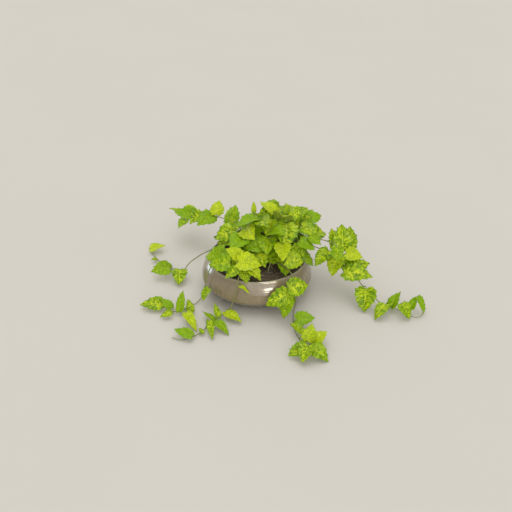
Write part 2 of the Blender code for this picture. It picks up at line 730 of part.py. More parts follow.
def make_soil(growths, finish):
    """The soil, with a plain upright hole for each stem."""
    edge = inner_radius(SOIL_HEIGHT, WALL + GAP)
    rings = [(edge * share, SOIL_HEIGHT) for share in reversed(SOIL_RINGS)]
    bm = turned([(0.0, SOIL_HEIGHT)] + rings + inner_profile(GAP), BOWL_SEGMENTS)
    for vert in bm.verts:
        if vert.co.z > SOIL_HEIGHT - GAP:
            vert.co.z += soil_lumps(vert.co.x, vert.co.y)
    bmesh.ops.scale(bm, vec=(MM, MM, MM), verts=bm.verts)
    mesh = bpy.data.meshes.new("soil")
    bm.to_mesh(mesh)
    bm.free()
    soil = add_object("soil", mesh, finish)
    holes = []
    for growth in growths:
        foot = growth.route.points[0]
        bottom = Vector((foot.x, foot.y, SOIL_HEIGHT - HOLE_DEPTH))
        top = Vector((foot.x, foot.y, SOIL_HEIGHT + 3.0 * SOIL_MOUND))
        radius = (growth.route.root_radius + 1.3 * GAP) / math.cos(math.pi / HOLE_SIDES)
        holes.append(tube([bottom, top], [radius, radius], HOLE_SIDES))
    combine(soil, "DIFFERENCE", holes, "EXACT")
    smooth(soil.data)
    return soil


def make_growth(growth, finish):
    """One leafy stem, its petioles and blades joined to it."""
    obj = add_object(growth.name, mesh_of(growth.name, stem(growth)), finish)
    combine(obj, "UNION", [leaf_solid(leaf) for leaf in growth.leaves], "MANIFOLD")
    smooth(obj.data)
    return obj


def lay_out():
    """Every leafy stem, placed clear of the others, the bowl, the soil and the table."""
    thicket = Thicket()
    soil_profile = [(0.0, SOIL_HEIGHT + SOIL_MOUND)] + inner_profile()
    for name, profile in (("pot", bowl_profile()), ("soil", soil_profile)):
        bm = turned(profile, BOWL_SEGMENTS)
        bm.verts.index_update()
        shape = ([v.co.copy() for v in bm.verts], [[v.index for v in f.verts] for f in bm.faces])
        bm.free()
        thicket.add(name, "ground", shape)
    dice = random.Random(SEED)
    placed = plant_placed(thicket)
    for growth in placed:
        grow_listed(thicket, dice, [growth], PLACED[growth.name][2])
    crown = grow_stems(thicket)
    bend = [growth for growth in placed if growth.name in BEND_CARRIERS]
    bowl = crown + [growth for growth in placed if growth.name in BOWL_CARRIERS]
    grow_listed(thicket, dice, bend, BEND_LEAVES)
    grow_listed(thicket, dice, bowl, BOWL_LEAVES)
    grow_crown(thicket, dice, crown)
    return placed + crown


def main():
    """Clear the scene and make every sub-part."""
    for obj in list(bpy.data.objects):
        bpy.data.objects.remove(obj)
    glaze = material("pot_glaze", (0.24, 0.21, 0.13), 0.22, coat=0.6)
    earth = material("soil", (0.045, 0.032, 0.022), 0.95)
    foliage = material("leaf", (0.26, 0.43, 0.03), 0.42)
    growths = lay_out()
    make_bowl(glaze)
    make_soil(growths, earth)
    for growth in growths:
        make_growth(growth, foliage)


if __name__ == "__main__":
    main()
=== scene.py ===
"""Looks of a potted pothos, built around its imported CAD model.

The plan of the plant has the CAD source's own stems, rules and seeded draws. A leaf that the
photograph shows is worked out from where it shows it. Each planned blade is then looked for on
its CAD node, and the finer blade is grown exactly there. Sizes are in millimetres, and meshes
are made in metres.
"""
import logging
import math
import random
from dataclasses import dataclass, field
from enum import Enum
from functools import lru_cache
from itertools import product
from typing import Iterator, NamedTuple, Sequence

import bmesh
import bpy
from mathutils import Matrix, Vector, noise
from mathutils.kdtree import KDTree


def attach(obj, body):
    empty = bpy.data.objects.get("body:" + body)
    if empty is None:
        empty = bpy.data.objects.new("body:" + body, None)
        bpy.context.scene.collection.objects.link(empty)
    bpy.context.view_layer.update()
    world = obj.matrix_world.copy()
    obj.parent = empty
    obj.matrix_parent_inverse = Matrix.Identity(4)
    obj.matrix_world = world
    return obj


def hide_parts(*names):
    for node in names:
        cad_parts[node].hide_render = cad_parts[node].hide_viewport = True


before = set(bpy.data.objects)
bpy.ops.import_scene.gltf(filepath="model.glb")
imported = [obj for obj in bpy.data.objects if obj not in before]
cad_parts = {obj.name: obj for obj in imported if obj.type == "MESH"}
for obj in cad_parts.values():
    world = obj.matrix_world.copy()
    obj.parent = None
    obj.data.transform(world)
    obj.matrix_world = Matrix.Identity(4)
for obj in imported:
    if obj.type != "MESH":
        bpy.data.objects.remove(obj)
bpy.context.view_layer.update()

LOG = logging.getLogger("pothos")

MM = 0.001
BODY = "root"
PETIOLE_RISE = 0.6
PETIOLE_LEAD = 0.35

Colour = tuple[float, float, float]
Foot = tuple[float, float]
Pair = tuple[float, float]
Socket = bpy.types.NodeSocket
Knot = tuple[float, float, float]
PhotoRow = tuple[float, float, float, float, float, float, float, float]
BladeRow = tuple[float, float, float, float, float, float, float, float]

# Growths that the photograph shows: where each is rooted, the points it passes, and its leaves.
# A leaf is given as PhotoLeaf says
PLACED: dict[str, tuple[Foot, tuple[Knot, ...], tuple[PhotoRow, ...]]] = {
    "vine_back_left": (
        (-24, 34),
        ((-30, 52, 108), (-44, 82, 121), (-62, 112, 118), (-98, 165, 102), (-134, 215, 88),
         (-164, 240, 78), (-191, 247, 71), (-210, 254, 67)),
        ((231, 225, 112, 236, 204, 38, 0, 0.8), (216.5, 214.5, 100, 219, 200, 24, 0, 1),
         (213, 214, 100, 199, 226, -14, 35, 0.95), (202, 213, 88, 190.5, 225, -14, 30, 0.95),
         (195, 215, 80, 173.5, 215, -2, 30, 0.85), (187, 211, 84, 169, 206, 4, 0, 0.6),
         (195.5, 212.5, 84, 187, 199.5, 22, 0, 0.7), (186, 219, 76, 179, 228.5, -12, 0, 0.9))),
    "vine_left": (
        (-58, 4),
        ((-68, 7, 99), (-90, 9, 103), (-112, 8, 95), (-130, 10, 84), (-146, 18, 68),
         (-163, 30, 47), (-176, 44, 22), (-190, 56, 9), (-208, 66, 4.5), (-221, 82, 4),
         (-240, 102, 4), (-259, 127, 4.5), (-272, 152, 6)),
        ((180, 270, 24, 178.5, 285, -16, 0, 0.95), (169, 268, 26, 151.5, 274, -4, 40, 1),
         (150.5, 249.5, 10, 166, 246.5, 4, 10, 0.85), (170, 268, 16, 160, 261, 8, 20, 0.6),
         (157, 259, 8, 151, 260, 2, 20, 0.8))),
    "vine_front_left": (
        (-52, -24),
        ((-66, -32, 99), (-88, -46, 103), (-104, -58, 92), (-112, -66, 76), (-117, -69, 58),
         (-120, -68, 40), (-123, -65, 22), (-129, -63, 9), (-140, -76, 4), (-151, -89, 4),
         (-168, -104, 4), (-189, -111, 4.5), (-205, -108, 7)),
        ((209, 289, 44, 203, 301.5, -26, 0, 0.95), (191, 312, 10, 188.5, 298.5, 24, 0, 0.7),
         (186, 313, 20, 197, 331, -15, 0, 0.5), (179, 310.5, 10, 175.5, 290, 34, 0, 0.5),
         (171.5, 312.5, 14, 160, 318, -8, 20, 0.75), (171, 308, 12, 160.5, 299, 12, 10, 0.75),
         (163, 304, 14, 139, 307, -4, 25, 0.75))),
    "vine_front": (
        (-22, -42),
        ((-27, -62, 101), (-34, -90, 103), (-40, -109, 95), (-43, -119, 81), (-46, -124, 64),
         (-52, -127, 45), (-60, -126, 26), (-67, -122, 12), (-75, -119, 4.5), (-84, -128, 4),
         (-100, -153, 4), (-112, -173, 4), (-127, -193, 4), (-139, -205, 4),
         (-163, -215, 4), (-184, -208, 5)),
        ((240, 286, 80, 249.5, 294.5, -12, 0, 0.45), (225.5, 312, 16, 241.5, 323.5, -10, 10, 0.6),
         (218.5, 317, 10, 214, 303, 22, 0, 0.55), (215, 320, 10, 203.5, 309, 10, -30, 0.5),
         (215.5, 321.5, 14, 229.5, 334.5, -9, 10, 0.55),
         (209.5, 323, 14, 213.5, 341, -11, 0, 0.4), (203, 333, 8, 199, 328, 3, 0, 0.7),
         (191.5, 336, 12, 172, 330.5, 4, 25, 0.6))),
    "vine_front_right": (
        (34, -42),
        ((46, -56, 100), (62, -76, 103), (76, -92, 96), (83, -102, 83), (87, -107, 66),
         (88, -110, 46), (87, -111, 26), (84, -116, 12), (82, -127, 5), (81, -153, 4),
         (83, -183, 4), (90, -207, 4), (99, -230, 4), (112, -242, 4.5)),
        ((289, 288, 84, 309, 289, -12, 50, 1.05), (289, 293, 74, 266.5, 307.5, -26, 35, 0.85),
         (289, 300, 58, 282, 319, -32, 0, 0.85), (293, 297, 56, 293.5, 305.5, -14, 0, 0.6),
         (296, 319, 26, 315.5, 321, -4, 40, 0.9), (303, 333, 16, 289, 323.5, 8, 10, 0.65),
         (311, 347, 20, 329, 361, -14, 15, 0.9), (306, 348, 18, 288, 356.5, -8, 20, 1),
         (308, 349, 18, 302, 366, -14, 0, 0.95), (308, 341, 14, 312, 323.5, 24, 0, 0.9),
         (311, 342, 16, 327, 330, 18, 10, 1), (314, 344, 14, 327, 342, 2, 20, 0.8))),
    "vine_right": (
        (52, 0),
        ((66, -2, 106), (96, -4, 118), (130, -8, 116), (158, -16, 108), (186, -30, 96),
         (210, -42, 76), (232, -48, 52), (250, -56, 32), (268, -67, 18), (282, -80, 10),
         (296, -90, 5.5), (316, -99, 4), (336, -115, 4), (352, -131, 4), (368, -132, 6),
         (378, -120, 12)),
        ((366, 289, 46, 364, 312, -38, 0, 1.1), (385, 306, 22, 375, 320.5, -16, 10, 0.7),
         (386, 309, 14, 388.5, 300, 12, 0, 0.7), (402, 304, 32, 409.5, 319.5, -26, 0, 1.05),
         (391, 307, 14, 401.5, 292, 28, 0, 0.75), (403, 309, 18, 410, 294.5, 26, 0, 0.95),
         (411, 308, 16, 416, 296, 22, 0, 0.8), (417, 298, 34, 424, 313.5, -26, 0, 0.6))),
    "shoot_right": (
        (76, 16),
        ((96, 14, 108), (130, 10.5, 124), (163, 2, 124.5), (190, -11, 112)),
        ()),
    "shoot_front_left": (
        (-48, -40),
        ((-56, -52, 96), (-66, -64, 102), (-78, -80, 100)),
        ()),
    "shoot_front": (
        (-6, -56),
        ((-12, -68, 96), (-20, -80, 102), (-28, -92, 100)),
        ()),
    "shoot_front_right": (
        (60, -40),
        ((62, -52, 95), (66, -64, 100)),
        ()),
    "shoot_left": (
        (-62, 28),
        ((-66, 40, 100), (-68, 54, 114)),
        ()),
}

# More leaves that the photograph shows, each on the nearest of some stems: those over the bowl,
# and those round the right vine's bend
BOWL_CARRIERS = ("shoot_left", "shoot_front_left", "shoot_front", "shoot_front_right",
                 "shoot_right")
BOWL_LEAVES: tuple[PhotoRow, ...] = (
    (243, 270, 104, 246, 285, -26, 0, 0.95), (239, 271, 104, 227, 282, -22, 10, 0.95),
    (239, 263, 118, 263, 268, -8, 35, 1), (225, 256, 116, 203, 259, -12, 40, 1),
    (249, 271, 104, 263, 281, -18, 10, 0.95), (230, 264, 108, 209, 268, -14, 40, 1),
    (239, 264, 112, 219, 273, -16, 35, 1), (241, 258, 120, 224, 256, -2, 30, 1),
    (286, 224, 172, 286, 248, -38, 0, 1.1), (286, 260, 120, 304, 265, -10, 45, 1.15),
    (285, 258, 106, 282, 276.5, -30, 0, 1.05), (275, 243, 134, 264, 261.5, -30, 10, 1),
    (235, 231, 138, 215, 241, -16, 35, 1.1), (272, 220, 174, 266, 237, -30, 0, 1.05),
    (279, 208, 184, 259, 217, -12, 40, 1), (293, 217, 178, 310, 208, 12, 20, 0.9),
    (262, 226, 156, 240, 229, -8, 35, 0.95), (306, 219, 166, 323, 217, -2, 35, 0.95),
    (293, 216, 176, 287, 202, 26, 0, 0.7), (259, 219, 166, 246, 211, 12, 20, 0.9),
    (301, 227, 160, 318, 236, -14, 30, 1), (254, 212, 178, 254, 200.5, 24, 0, 0.55),
    (232, 239, 122, 218, 250, -22, 20, 0.95), (278, 259, 100, 268, 267, -10, 30, 0.95),
    (262, 246, 128, 244, 253, -14, 35, 1), (242, 238, 136, 231, 252, -24, 10, 1),
    (300, 241, 140, 314, 252, -20, 20, 1), (309, 238, 144, 321, 247, -14, 20, 1),
    (294, 244, 138, 305, 257, -24, 10, 1), (262, 238, 142, 248, 247, -18, 30, 0.95),
)
BEND_CARRIERS = ("shoot_right", "vine_right")
BEND_LEAVES: tuple[PhotoRow, ...] = (
    (337, 249, 104, 331, 228, 36, 0, 0.9), (342, 249, 104, 340.5, 224, 42, 0, 0.85),
    (348, 249, 98, 350.5, 226, 38, 0, 0.85), (350, 248, 96, 362, 227.5, 34, 0, 0.9),
    (338, 257, 98, 332, 277.5, -38, 0, 0.95), (344, 272, 74, 373, 279.5, -6, 35, 0.75),
    (344, 268, 80, 371.5, 264.5, 6, 35, 0.75), (328, 252, 106, 315, 268.5, -26, 20, 0.85),
    (337, 247, 132, 338, 262, -24, 10, 1), (346, 252, 114, 362, 259, -10, 40, 1),
    (355, 251, 88, 367, 246, 4, 25, 0.9), (342, 256, 90, 346, 269, -22, 0, 1),
)


class PhotoLeaf(NamedTuple):
    """A leaf on the photograph.

    Its notch and tip are in pixels from the picture's top left corner. Its height above the
    table and its rise to the tip are guessed, in millimetres. The turn of its face is in
    degrees, and its width is a share of the usual one.
    """

    notch_across: float
    notch_down: float
    height: float
    tip_across: float
    tip_down: float
    rise: float
    turn: float
    width: float


class Slot(Enum):
    """Names of material slots."""

    GLAZE = "pot_glaze"
    SOIL = "soil"
    LEAF = "leaf"


class Tissue(Enum):
    """What a strand of the plant is, valued by its share of tan bark."""

    PETIOLE = 0.0
    VINE = 0.55
    AERIAL_ROOT = 1.0


def direction(heading: float, pitch: float) -> Vector:
    """Unit vector of a compass heading and a pitch.

    Args:
        heading: Degrees from +X towards +Y.
        pitch: Degrees above the level.

    Returns:
        The direction.
    """
    heading, pitch = math.radians(heading), math.radians(pitch)
    level = math.cos(pitch)
    return Vector((level * math.cos(heading), level * math.sin(heading), math.sin(pitch)))


def face_of(heading: float, pitch: float, roll: float) -> Vector:
    """Unit vector square to a blade's face, from its three angles in degrees."""
    along = direction(heading, pitch)
    turn = Matrix.Rotation(math.radians(roll), 3, along)
    return along.cross(turn @ direction(heading + 90.0, 0.0))


def smooth_route(knots: Sequence[Vector], steps: int) -> list[Vector]:
    """Catmull-Rom curve through the knots.

    Args:
        knots: Points that the curve passes.
        steps: Spans between one knot and the next.

    Returns:
        The curve's points, from the first knot to the last.
    """
    padded = [knots[0] * 2 - knots[1], *knots, knots[-1] * 2 - knots[-2]]
    points = []
    for a, b, c, d in zip(padded, padded[1:], padded[2:], padded[3:]):
        for step in range(steps):
            t = step / steps
            points.append(0.5 * (2 * b + (c - a) * t + (2 * a - 5 * b + 4 * c - d) * t * t
                                 + (3 * b - a - 3 * c + d) * t ** 3))
    return points + [knots[-1]]


def smoothstep(low: float, high: float, value: float) -> float:
    """Share of the way from low to high, eased at both ends."""
    share = min(max((value - low) / (high - low), 0.0), 1.0)
    return share * share * (3.0 - 2.0 * share)


def nearest(value: float, step: int) -> int:
    """The multiple of a step that lies nearest to a value."""
    return round(value / step) * step


@dataclass(frozen=True)
class Viewpoint:
    """The photograph's camera. Sizes in millimetres, the picture's in pixels."""

    aim: Knot = (-2.0, 0.0, 85.0)
    distance: float = 1671.0
    elevation: float = 31.0
    lens: float = 50.0
    sensor: float = 36.0
    picture_middle: float = 256.0
    picture_focal: float = 711.1
    start_above_chord: float = 13.0
    place_step: int = 1
    angle_step: int = 5
    length_step: int = 2

    def spot(self, across: float, down: float, height: float) -> Knot:
        """Place that a point of the photograph shows.

        Args:
            across: Pixels from the picture's left edge.
            down: Pixels from its top edge.
            height: Millimetres above the table.

        Returns:
            The place.
        """
        sine = math.sin(math.radians(self.elevation))
        cosine = math.cos(math.radians(self.elevation))
        x, y, z = self.aim
        eye = (x, y - self.distance * cosine, z + self.distance * sine)
        up = (self.picture_middle - down) / self.picture_focal
        ray = ((across - self.picture_middle) / self.picture_focal, cosine + up * sine,
               up * cosine - sine)
        reach = (height - eye[2]) / ray[2]
        return tuple(start + reach * way for start, way in zip(eye, ray))

    def leaf_row(self, leaf: PhotoLeaf) -> BladeRow:
        """Work a blade out from the photograph.

        Args:
            leaf: Where its notch and its tip show, and how it faces.

        Returns:
            Its notch's place, its heading, pitch and roll in degrees, its length and its width.
        """
        notch = self.spot(leaf.notch_across, leaf.notch_down, leaf.height)
        tip = self.spot(leaf.tip_across, leaf.tip_down, leaf.height + leaf.rise)
        chord = [end - start for start, end in zip(notch, tip)]
        length = math.dist(notch, tip)
        turn = math.atan2(chord[1], chord[0])
        pitch = math.degrees(math.asin(chord[2] / length)) + self.start_above_chord
        return (nearest(notch[0], self.place_step), nearest(notch[1], self.place_step),
                leaf.height, nearest(math.degrees(turn), self.angle_step),
                nearest(pitch, self.angle_step),
                nearest(leaf.turn * math.cos(turn), self.angle_step),
                nearest(length, self.length_step), leaf.width)


VIEW = Viewpoint()


@dataclass
class Route:
    """A centre line in millimetres, and the radius at its two ends."""

    points: list[Vector]
    root_radius: float = 0.0
    tip_radius: float = 0.0
    spans: list[float] = field(init=False)
    length: float = field(init=False)

    def __post_init__(self) -> None:
        """Measure the spans."""
        self.spans = [(b - a).length for a, b in zip(self.points, self.points[1:])]
        self.length = sum(self.spans)

    def at(self, share: float) -> tuple[Vector, Vector]:
        """Place on the line.

        Args:
            share: Share of the length, from 0 to 1.

        Returns:
            The point there and the direction of the line.
        """
        left = share * self.length
        for start, end, span in zip(self.points, self.points[1:], self.spans):
            if left <= span:
                break
            left -= span
        return start.lerp(end, min(left / span, 1.0)), (end - start).normalized()

    def shares(self) -> list[float]:
        """How far along the line each point is."""
        reached, shares = 0.0, [0.0]
        for span in self.spans:
            reached += span
            shares.append(reached / self.length)
        return shares


@dataclass(frozen=True)
class BladeOutline:
    """Half outline of a heart-shaped blade, in shares of its length."""

    rows: tuple[Pair, ...] = (
        (-0.09, 0.19), (0.12, 0.41), (0.47, 0.38), (0.79, 0.17))
    back_of_lobe: Pair = (-0.055, 0.075)
    drip_tip: Pair = (0.93, 0.047)
    waves: float = 1.6
    wave_height: float = 0.035
    wave_easing: float = 0.85
    teeth: int = 6
    tooth_depth: float = 0.16
    tooth_lean: float = 0.75
    tooth_mean: float = 0.7
    tooth_swing: float = 0.3
    tooth_start: Pair = (0.06, 0.2)
    tooth_end: Pair = (1.0, 0.9)
    tooth_balance: float = 0.42

    def route(self) -> Route:
        """The smooth line from the notch round the lobe to the tip."""
        knots = [(0.0, 0.0), self.back_of_lobe, *self.rows, self.drip_tip, (1.0, 0.0)]
        return Route(smooth_route([Vector((*knot, 0.0)) for knot in knots], 8))

    def lift(self, share: float, phase: float) -> float:
        """Height of the waved edge.

        Args:
            share: How far round the edge, by the count of outline rows.
            phase: Turn at which the wave starts, in radians.

        Returns:
            The height as a share of the blade's length.
        """
        return self.wave_height * math.sin(math.tau * self.waves * share + phase)

    def tooth(self, share: float, phase: float) -> float:
        """How far a forward tooth of the margin stands out.

        Args:
            share: Share of the outline's length.
            phase: Number that makes one margin's teeth unlike another's.

        Returns:
            The reach as a share of the blade's length.
        """
        count = share * self.teeth
        number = math.floor(count + 1e-6)
        rise = count - number
        uneven = self.tooth_mean + self.tooth_swing * math.sin(2.4 * number + 5.0 * phase)
        ends = smoothstep(*self.tooth_start, share) * smoothstep(*self.tooth_end, share)
        return self.tooth_depth * uneven * ends * (rise - self.tooth_balance)


OUTLINE = BladeOutline()


@dataclass
class Blade:
    """One planned blade on its petiole. Angles are in degrees and lengths in millimetres."""

    root: Vector
    base: Vector
    heading: float
    pitch: float
    roll: float
    length: float
    width: float
    bend: float
    fold: float
    phase: float
    along: Vector = field(init=False)
    side: Vector = field(init=False)
    normal: Vector = field(init=False)

    def __post_init__(self) -> None:
        """Find the way that the blade points and faces."""
        self.along = direction(self.heading, self.pitch)
        turn = Matrix.Rotation(math.radians(self.roll), 3, self.along)
        self.side = turn @ direction(self.heading + 90.0, 0.0)
        self.normal = self.along.cross(self.side)

    def spot(self, forward: float, sideways: float, lift: float = 0.0) -> Vector:
        """Point of the bent and folded blade.

        Args:
            forward: Share of the length along the midrib.
            sideways: Share of the length to the side, before the blade's own width.
            lift: Share of the length above the face.

        Returns:
            The point in millimetres.
        """
        turn = self.bend * forward
        run = math.sin(turn) / self.bend * self.length
        drop = (1.0 - math.cos(turn)) / self.bend * self.length
        normal = self.normal * math.cos(turn) + self.along * math.sin(turn)
        fold = math.radians(self.fold)
        across = sideways * self.width * self.length
        raised = abs(across) * math.sin(fold) + lift * self.length
        middle = self.base + self.along * run - self.normal * drop
        return middle + self.side * (across * math.cos(fold)) + normal * raised

    def marks(self) -> Iterator[Vector]:
        """Points that the blade's CAD solid has on its tip and its two edges."""
        yield self.spot(1.0, 0.0)
        for row, (forward, sideways) in enumerate(OUTLINE.rows):
            share = (row + 1) / (len(OUTLINE.rows) + 1)
            for side in (1, -1):
                yield self.spot(forward, side * sideways, OUTLINE.lift(share, self.phase + side))

    def petiole(self, steps: int) -> list[Vector]:
        """Centre line of the petiole.

        Args:
            steps: Spans of the line.

        Returns:
            Its points, from inside the stem to the blade's notch.
        """
        reach = (self.base - self.root).length
        rising = (self.base - self.root).normalized() + Vector((0.0, 0.0, PETIOLE_RISE))
        first = self.root + rising.normalized() * (PETIOLE_LEAD * reach)
        second = self.base - self.along * (PETIOLE_LEAD * reach)
        points = []
        for step in range(steps + 1):
            t = step / steps
            points.append(self.root * (1 - t) ** 3 + first * (3 * t * (1 - t) ** 2)
                          + second * (3 * t * t * (1 - t)) + self.base * t ** 3)
        return points


@dataclass
class Growth:
    """One leafy stem: its CAD node's name, its centre line and its blades."""

    name: str
    route: Route
    blades: list[Blade] = field(default_factory=list)


class CadNode:
    """The vertices of one CAD node, in which planned blades and stems are looked up."""

    HALF_THICKNESS = 0.4
    PETIOLE_RADIUS = 0.85
    LEEWAY = 0.05

    def __init__(self, name: str) -> None:
        """Keep the node's vertices in a search tree.

        Args:
            name: The CAD node's name.
        """
        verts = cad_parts[name].data.vertices
        self.tree = KDTree(len(verts))
        for vert in verts:
            self.tree.insert(vert.co / MM, vert.index)
        self.tree.balance()

    def has_at(self, place: Vector, distance: float) -> bool:
        """Whether a vertex lies just so far from a place."""
        near = self.tree.find_range(place, distance + self.LEEWAY)
        return any(abs(found - distance) < self.LEEWAY for _, _, found in near)

    def holds_blade(self, blade: Blade) -> bool:
        """Whether the solid has this blade and its petiole."""
        return (all(self.has_at(mark, self.HALF_THICKNESS) for mark in blade.marks())
                and self.has_at(blade.petiole(2)[1], self.PETIOLE_RADIUS))


@dataclass
class PlantPlan:
    """Every stem and blade, placed by the CAD source's rules and confirmed on its nodes."""

    seed: int = 27
    soil_height: float = 75.0
    foot_height: float = 59.6
    straight_height: float = 84.0
    vine_radii: Pair = (1.4, 0.9)
    crown_radii: Pair = (1.7, 1.2)
    route_steps: int = 2
    petiole_lengths: Pair = (12.0, 62.0)
    petiole_spacing: float = 11.0
    lowest_petiole: float = 0.3
    blade_bends: Pair = (0.25, 0.7)
    blade_folds: Pair = (8.0, 22.0)
    golden_turn: float = math.pi * (3.0 - math.sqrt(5.0))
    dome_centre: Knot = (32.0, 28.0, 92.0)
    dome_radii: Knot = (104.0, 88.0, 88.0)
    dome_lean: float = 0.16
    stem_count: int = 15
    stem_spread: float = 74.0
    stem_share_of_dome: float = 0.66
    stem_shifts: tuple[float, ...] = (0.0, 0.12, -0.12, 0.24, -0.24, 0.36, -0.36)
    layers: tuple[tuple[int, float, float], ...] = ((66, 1.0, 1.0), (44, 0.78, 0.8))
    face_turn: float = 45.0
    face_unevenness: float = 15.0
    crown_lengths: Pair = (44.0, 56.0)
    crown_widths: Pair = (0.95, 1.15)
    crown_spread: float = 40.0
    crown_pitch: float = 30.0
    crown_droop: float = 75.0
    crown_unevenness: float = 22.0
    roots_tried: int = 5
    hanging_cost: float = 1.2
    crowding_cost: float = 4.0
    stem_arch: float = 0.12
    turn_unevenness: float = 0.2
    notch_setback: float = 0.45
    swings: tuple[int, ...] = (0, 14, -14, 28, -28, 42, -42)
    tilts: tuple[int, ...] = (0, 12, -12, 24)
    shifts: tuple[float, ...] = (0.0, 0.1, -0.1, 0.2, -0.2)
    shift_cost: int = 120

    def __post_init__(self) -> None:
        """Order the nudges and open the draws and the CAD nodes."""
        self.nudges = sorted(product(self.swings, self.tilts, self.shifts), key=lambda n: (
            abs(n[0]) + abs(n[1]) + self.shift_cost * abs(n[2])))
        self.dice = random.Random(self.seed)
        self.nodes: dict[str, CadNode] = {}

    def grow(self) -> list[Growth]:
        """Every leafy stem, in the CAD source's order of placing."""
        placed = [Growth(name, self.rooted(root, knots, self.vine_radii))
                  for name, (root, knots, _) in PLACED.items()]
        for growth in placed:
            self.grow_listed([growth], PLACED[growth.name][2])
        crown = self.grow_stems()
        bend = [growth for growth in placed if growth.name in BEND_CARRIERS]
        bowl = crown + [growth for growth in placed if growth.name in BOWL_CARRIERS]
        self.grow_listed(bend, BEND_LEAVES)
        self.grow_listed(bowl, BOWL_LEAVES)
        self.grow_crown(crown)
        return placed + crown

    def rooted(self, root: Foot, knots: Sequence[Sequence[float]],
               radii: Pair) -> Route:
        """Centre line that starts upright in the soil.

        Args:
            root: Where it stands.
            knots: The points that it passes.
            radii: Radius at its foot and at its tip.

        Returns:
            The route.
        """
        foot = Vector((*root, self.foot_height))
        ground = Vector((*root, self.straight_height))
        points = smooth_route([ground] + [Vector(knot) for knot in knots], self.route_steps)
        return Route([foot] + points, *radii)

    def node(self, name: str) -> CadNode:
        """The CAD node of a growth, opened once."""
        if name not in self.nodes:
            self.nodes[name] = CadNode(name)
        return self.nodes[name]

    def settle(self, growth: Growth, blade: Blade) -> bool:
        """Whether a growth's CAD node has a blade. If it has, the blade joins the growth."""
        if self.node(growth.name).holds_blade(blade):
            growth.blades.append(blade)
            return True
        return False

    def blade_form(self) -> tuple[float, float, float]:
        """Bend, fold and wave phase of one blade."""
        return (self.dice.uniform(*self.blade_bends), self.dice.uniform(*self.blade_folds),
                self.dice.uniform(0.0, math.tau))

    def dome_spot(self, turn: float, climb: float, scale: float = 1.0) -> Vector:
        """Point of the crown's dome.

        Args:
            turn: Radians round the dome.
            climb: Radians from its edge towards its top.
            scale: Share of the dome's size.

        Returns:
            The point in millimetres.
        """
        x, y, z = self.dome_centre
        level = scale * math.cos(climb)
        height = scale * self.dome_radii[2] * math.sin(climb)
        return Vector((x + self.dome_radii[0] * level * math.cos(turn) + self.dome_lean * height,
                       y + self.dome_radii[1] * level * math.sin(turn), z + height))

    def grow_stems(self) -> list[Growth]:
        """The crown's bare stems, fanned out from the soil to the dome."""
        growths = []
        for n in range(self.stem_count):
            share = (n + 0.5) / self.stem_count
            name = f"crown_stem_{n + 1:02d}"
            for shift in self.stem_shifts:
                turn = n * self.golden_turn + shift
                spread = self.stem_spread * math.sqrt(share)
                root = (spread * math.cos(turn), spread * math.sin(turn))
                end = self.dome_spot(turn, math.acos(share), self.stem_share_of_dome)
                ground = Vector((*root, self.soil_height))
                rise = Vector((0.0, 0.0, self.stem_arch * (end - ground).length))
                route = self.rooted(root, (ground.lerp(end, 0.5) + rise, end), self.crown_radii)
                if self.node(name).has_at(route.points[0], route.root_radius):
                    growths.append(Growth(name, route))
                    break
        return growths

    def nearest_roots(self, growths: list[Growth], base: Vector) -> list[tuple[Growth, Vector]]:
        """The best places on some stems for a petiole.

        Args:
            growths: The growths to choose from.
            base: The blade's notch.

        Returns:
            Growths with the root of the petiole on them, the best first.
        """
        found = []
        for order, growth in enumerate(growths):
            steps = int(growth.route.length / self.petiole_spacing)
            for step in range(steps + 1):
                share = self.lowest_petiole + (1.0 - self.lowest_petiole) * step / steps
                root, _ = growth.route.at(share)
                reach = base - root
                cost = reach.length + self.hanging_cost * max(0.0, -reach.z)
                cost += self.crowding_cost * len(growth.blades)
                if self.petiole_lengths[0] < reach.length < self.petiole_lengths[1]:
                    found.append((cost, order, root))
        found.sort(key=lambda row: row[:2])
        return [(growths[order], root) for _, order, root in found[:self.roots_tried]]

    def face_roll(self, spot: Vector, heading: float) -> float:
        """Roll that turns a crown blade's face away from the dome's centre.

        Args:
            spot: Where the blade is.
            heading: The blade's heading in degrees.

        Returns:
            The roll in degrees.
        """
        outward = math.atan2(spot.y - self.dome_centre[1], spot.x - self.dome_centre[0])
        return self.face_turn * math.sin(math.radians(heading) - outward)

    def on_a_stem(self, growths: list[Growth], base: Vector, rest: Sequence[float]) -> bool:
        """Whether one of the nearest stems has a blade with its notch at base."""
        return any(self.settle(growth, Blade(root, base, *rest))
                   for growth, root in self.nearest_roots(growths, base))

    def grow_listed(self, growths: list[Growth], leaves: Sequence[PhotoRow]) -> None:
        """Blades that the photograph shows.

        Args:
            growths: The growths that may carry them.
            leaves: Their places on the photograph.
        """
        for leaf in leaves:
            x, y, z, heading, pitch, roll, length, width = VIEW.leaf_row(PhotoLeaf(*leaf))
            form = self.blade_form()
            face = face_of(heading, pitch, roll)
            for swing, tilt, shift in self.nudges:
                if self.on_a_stem(growths, Vector((x, y, z)) + face * (length * shift), (
                        heading + swing, pitch + tilt, roll, length, width, *form)):
                    break

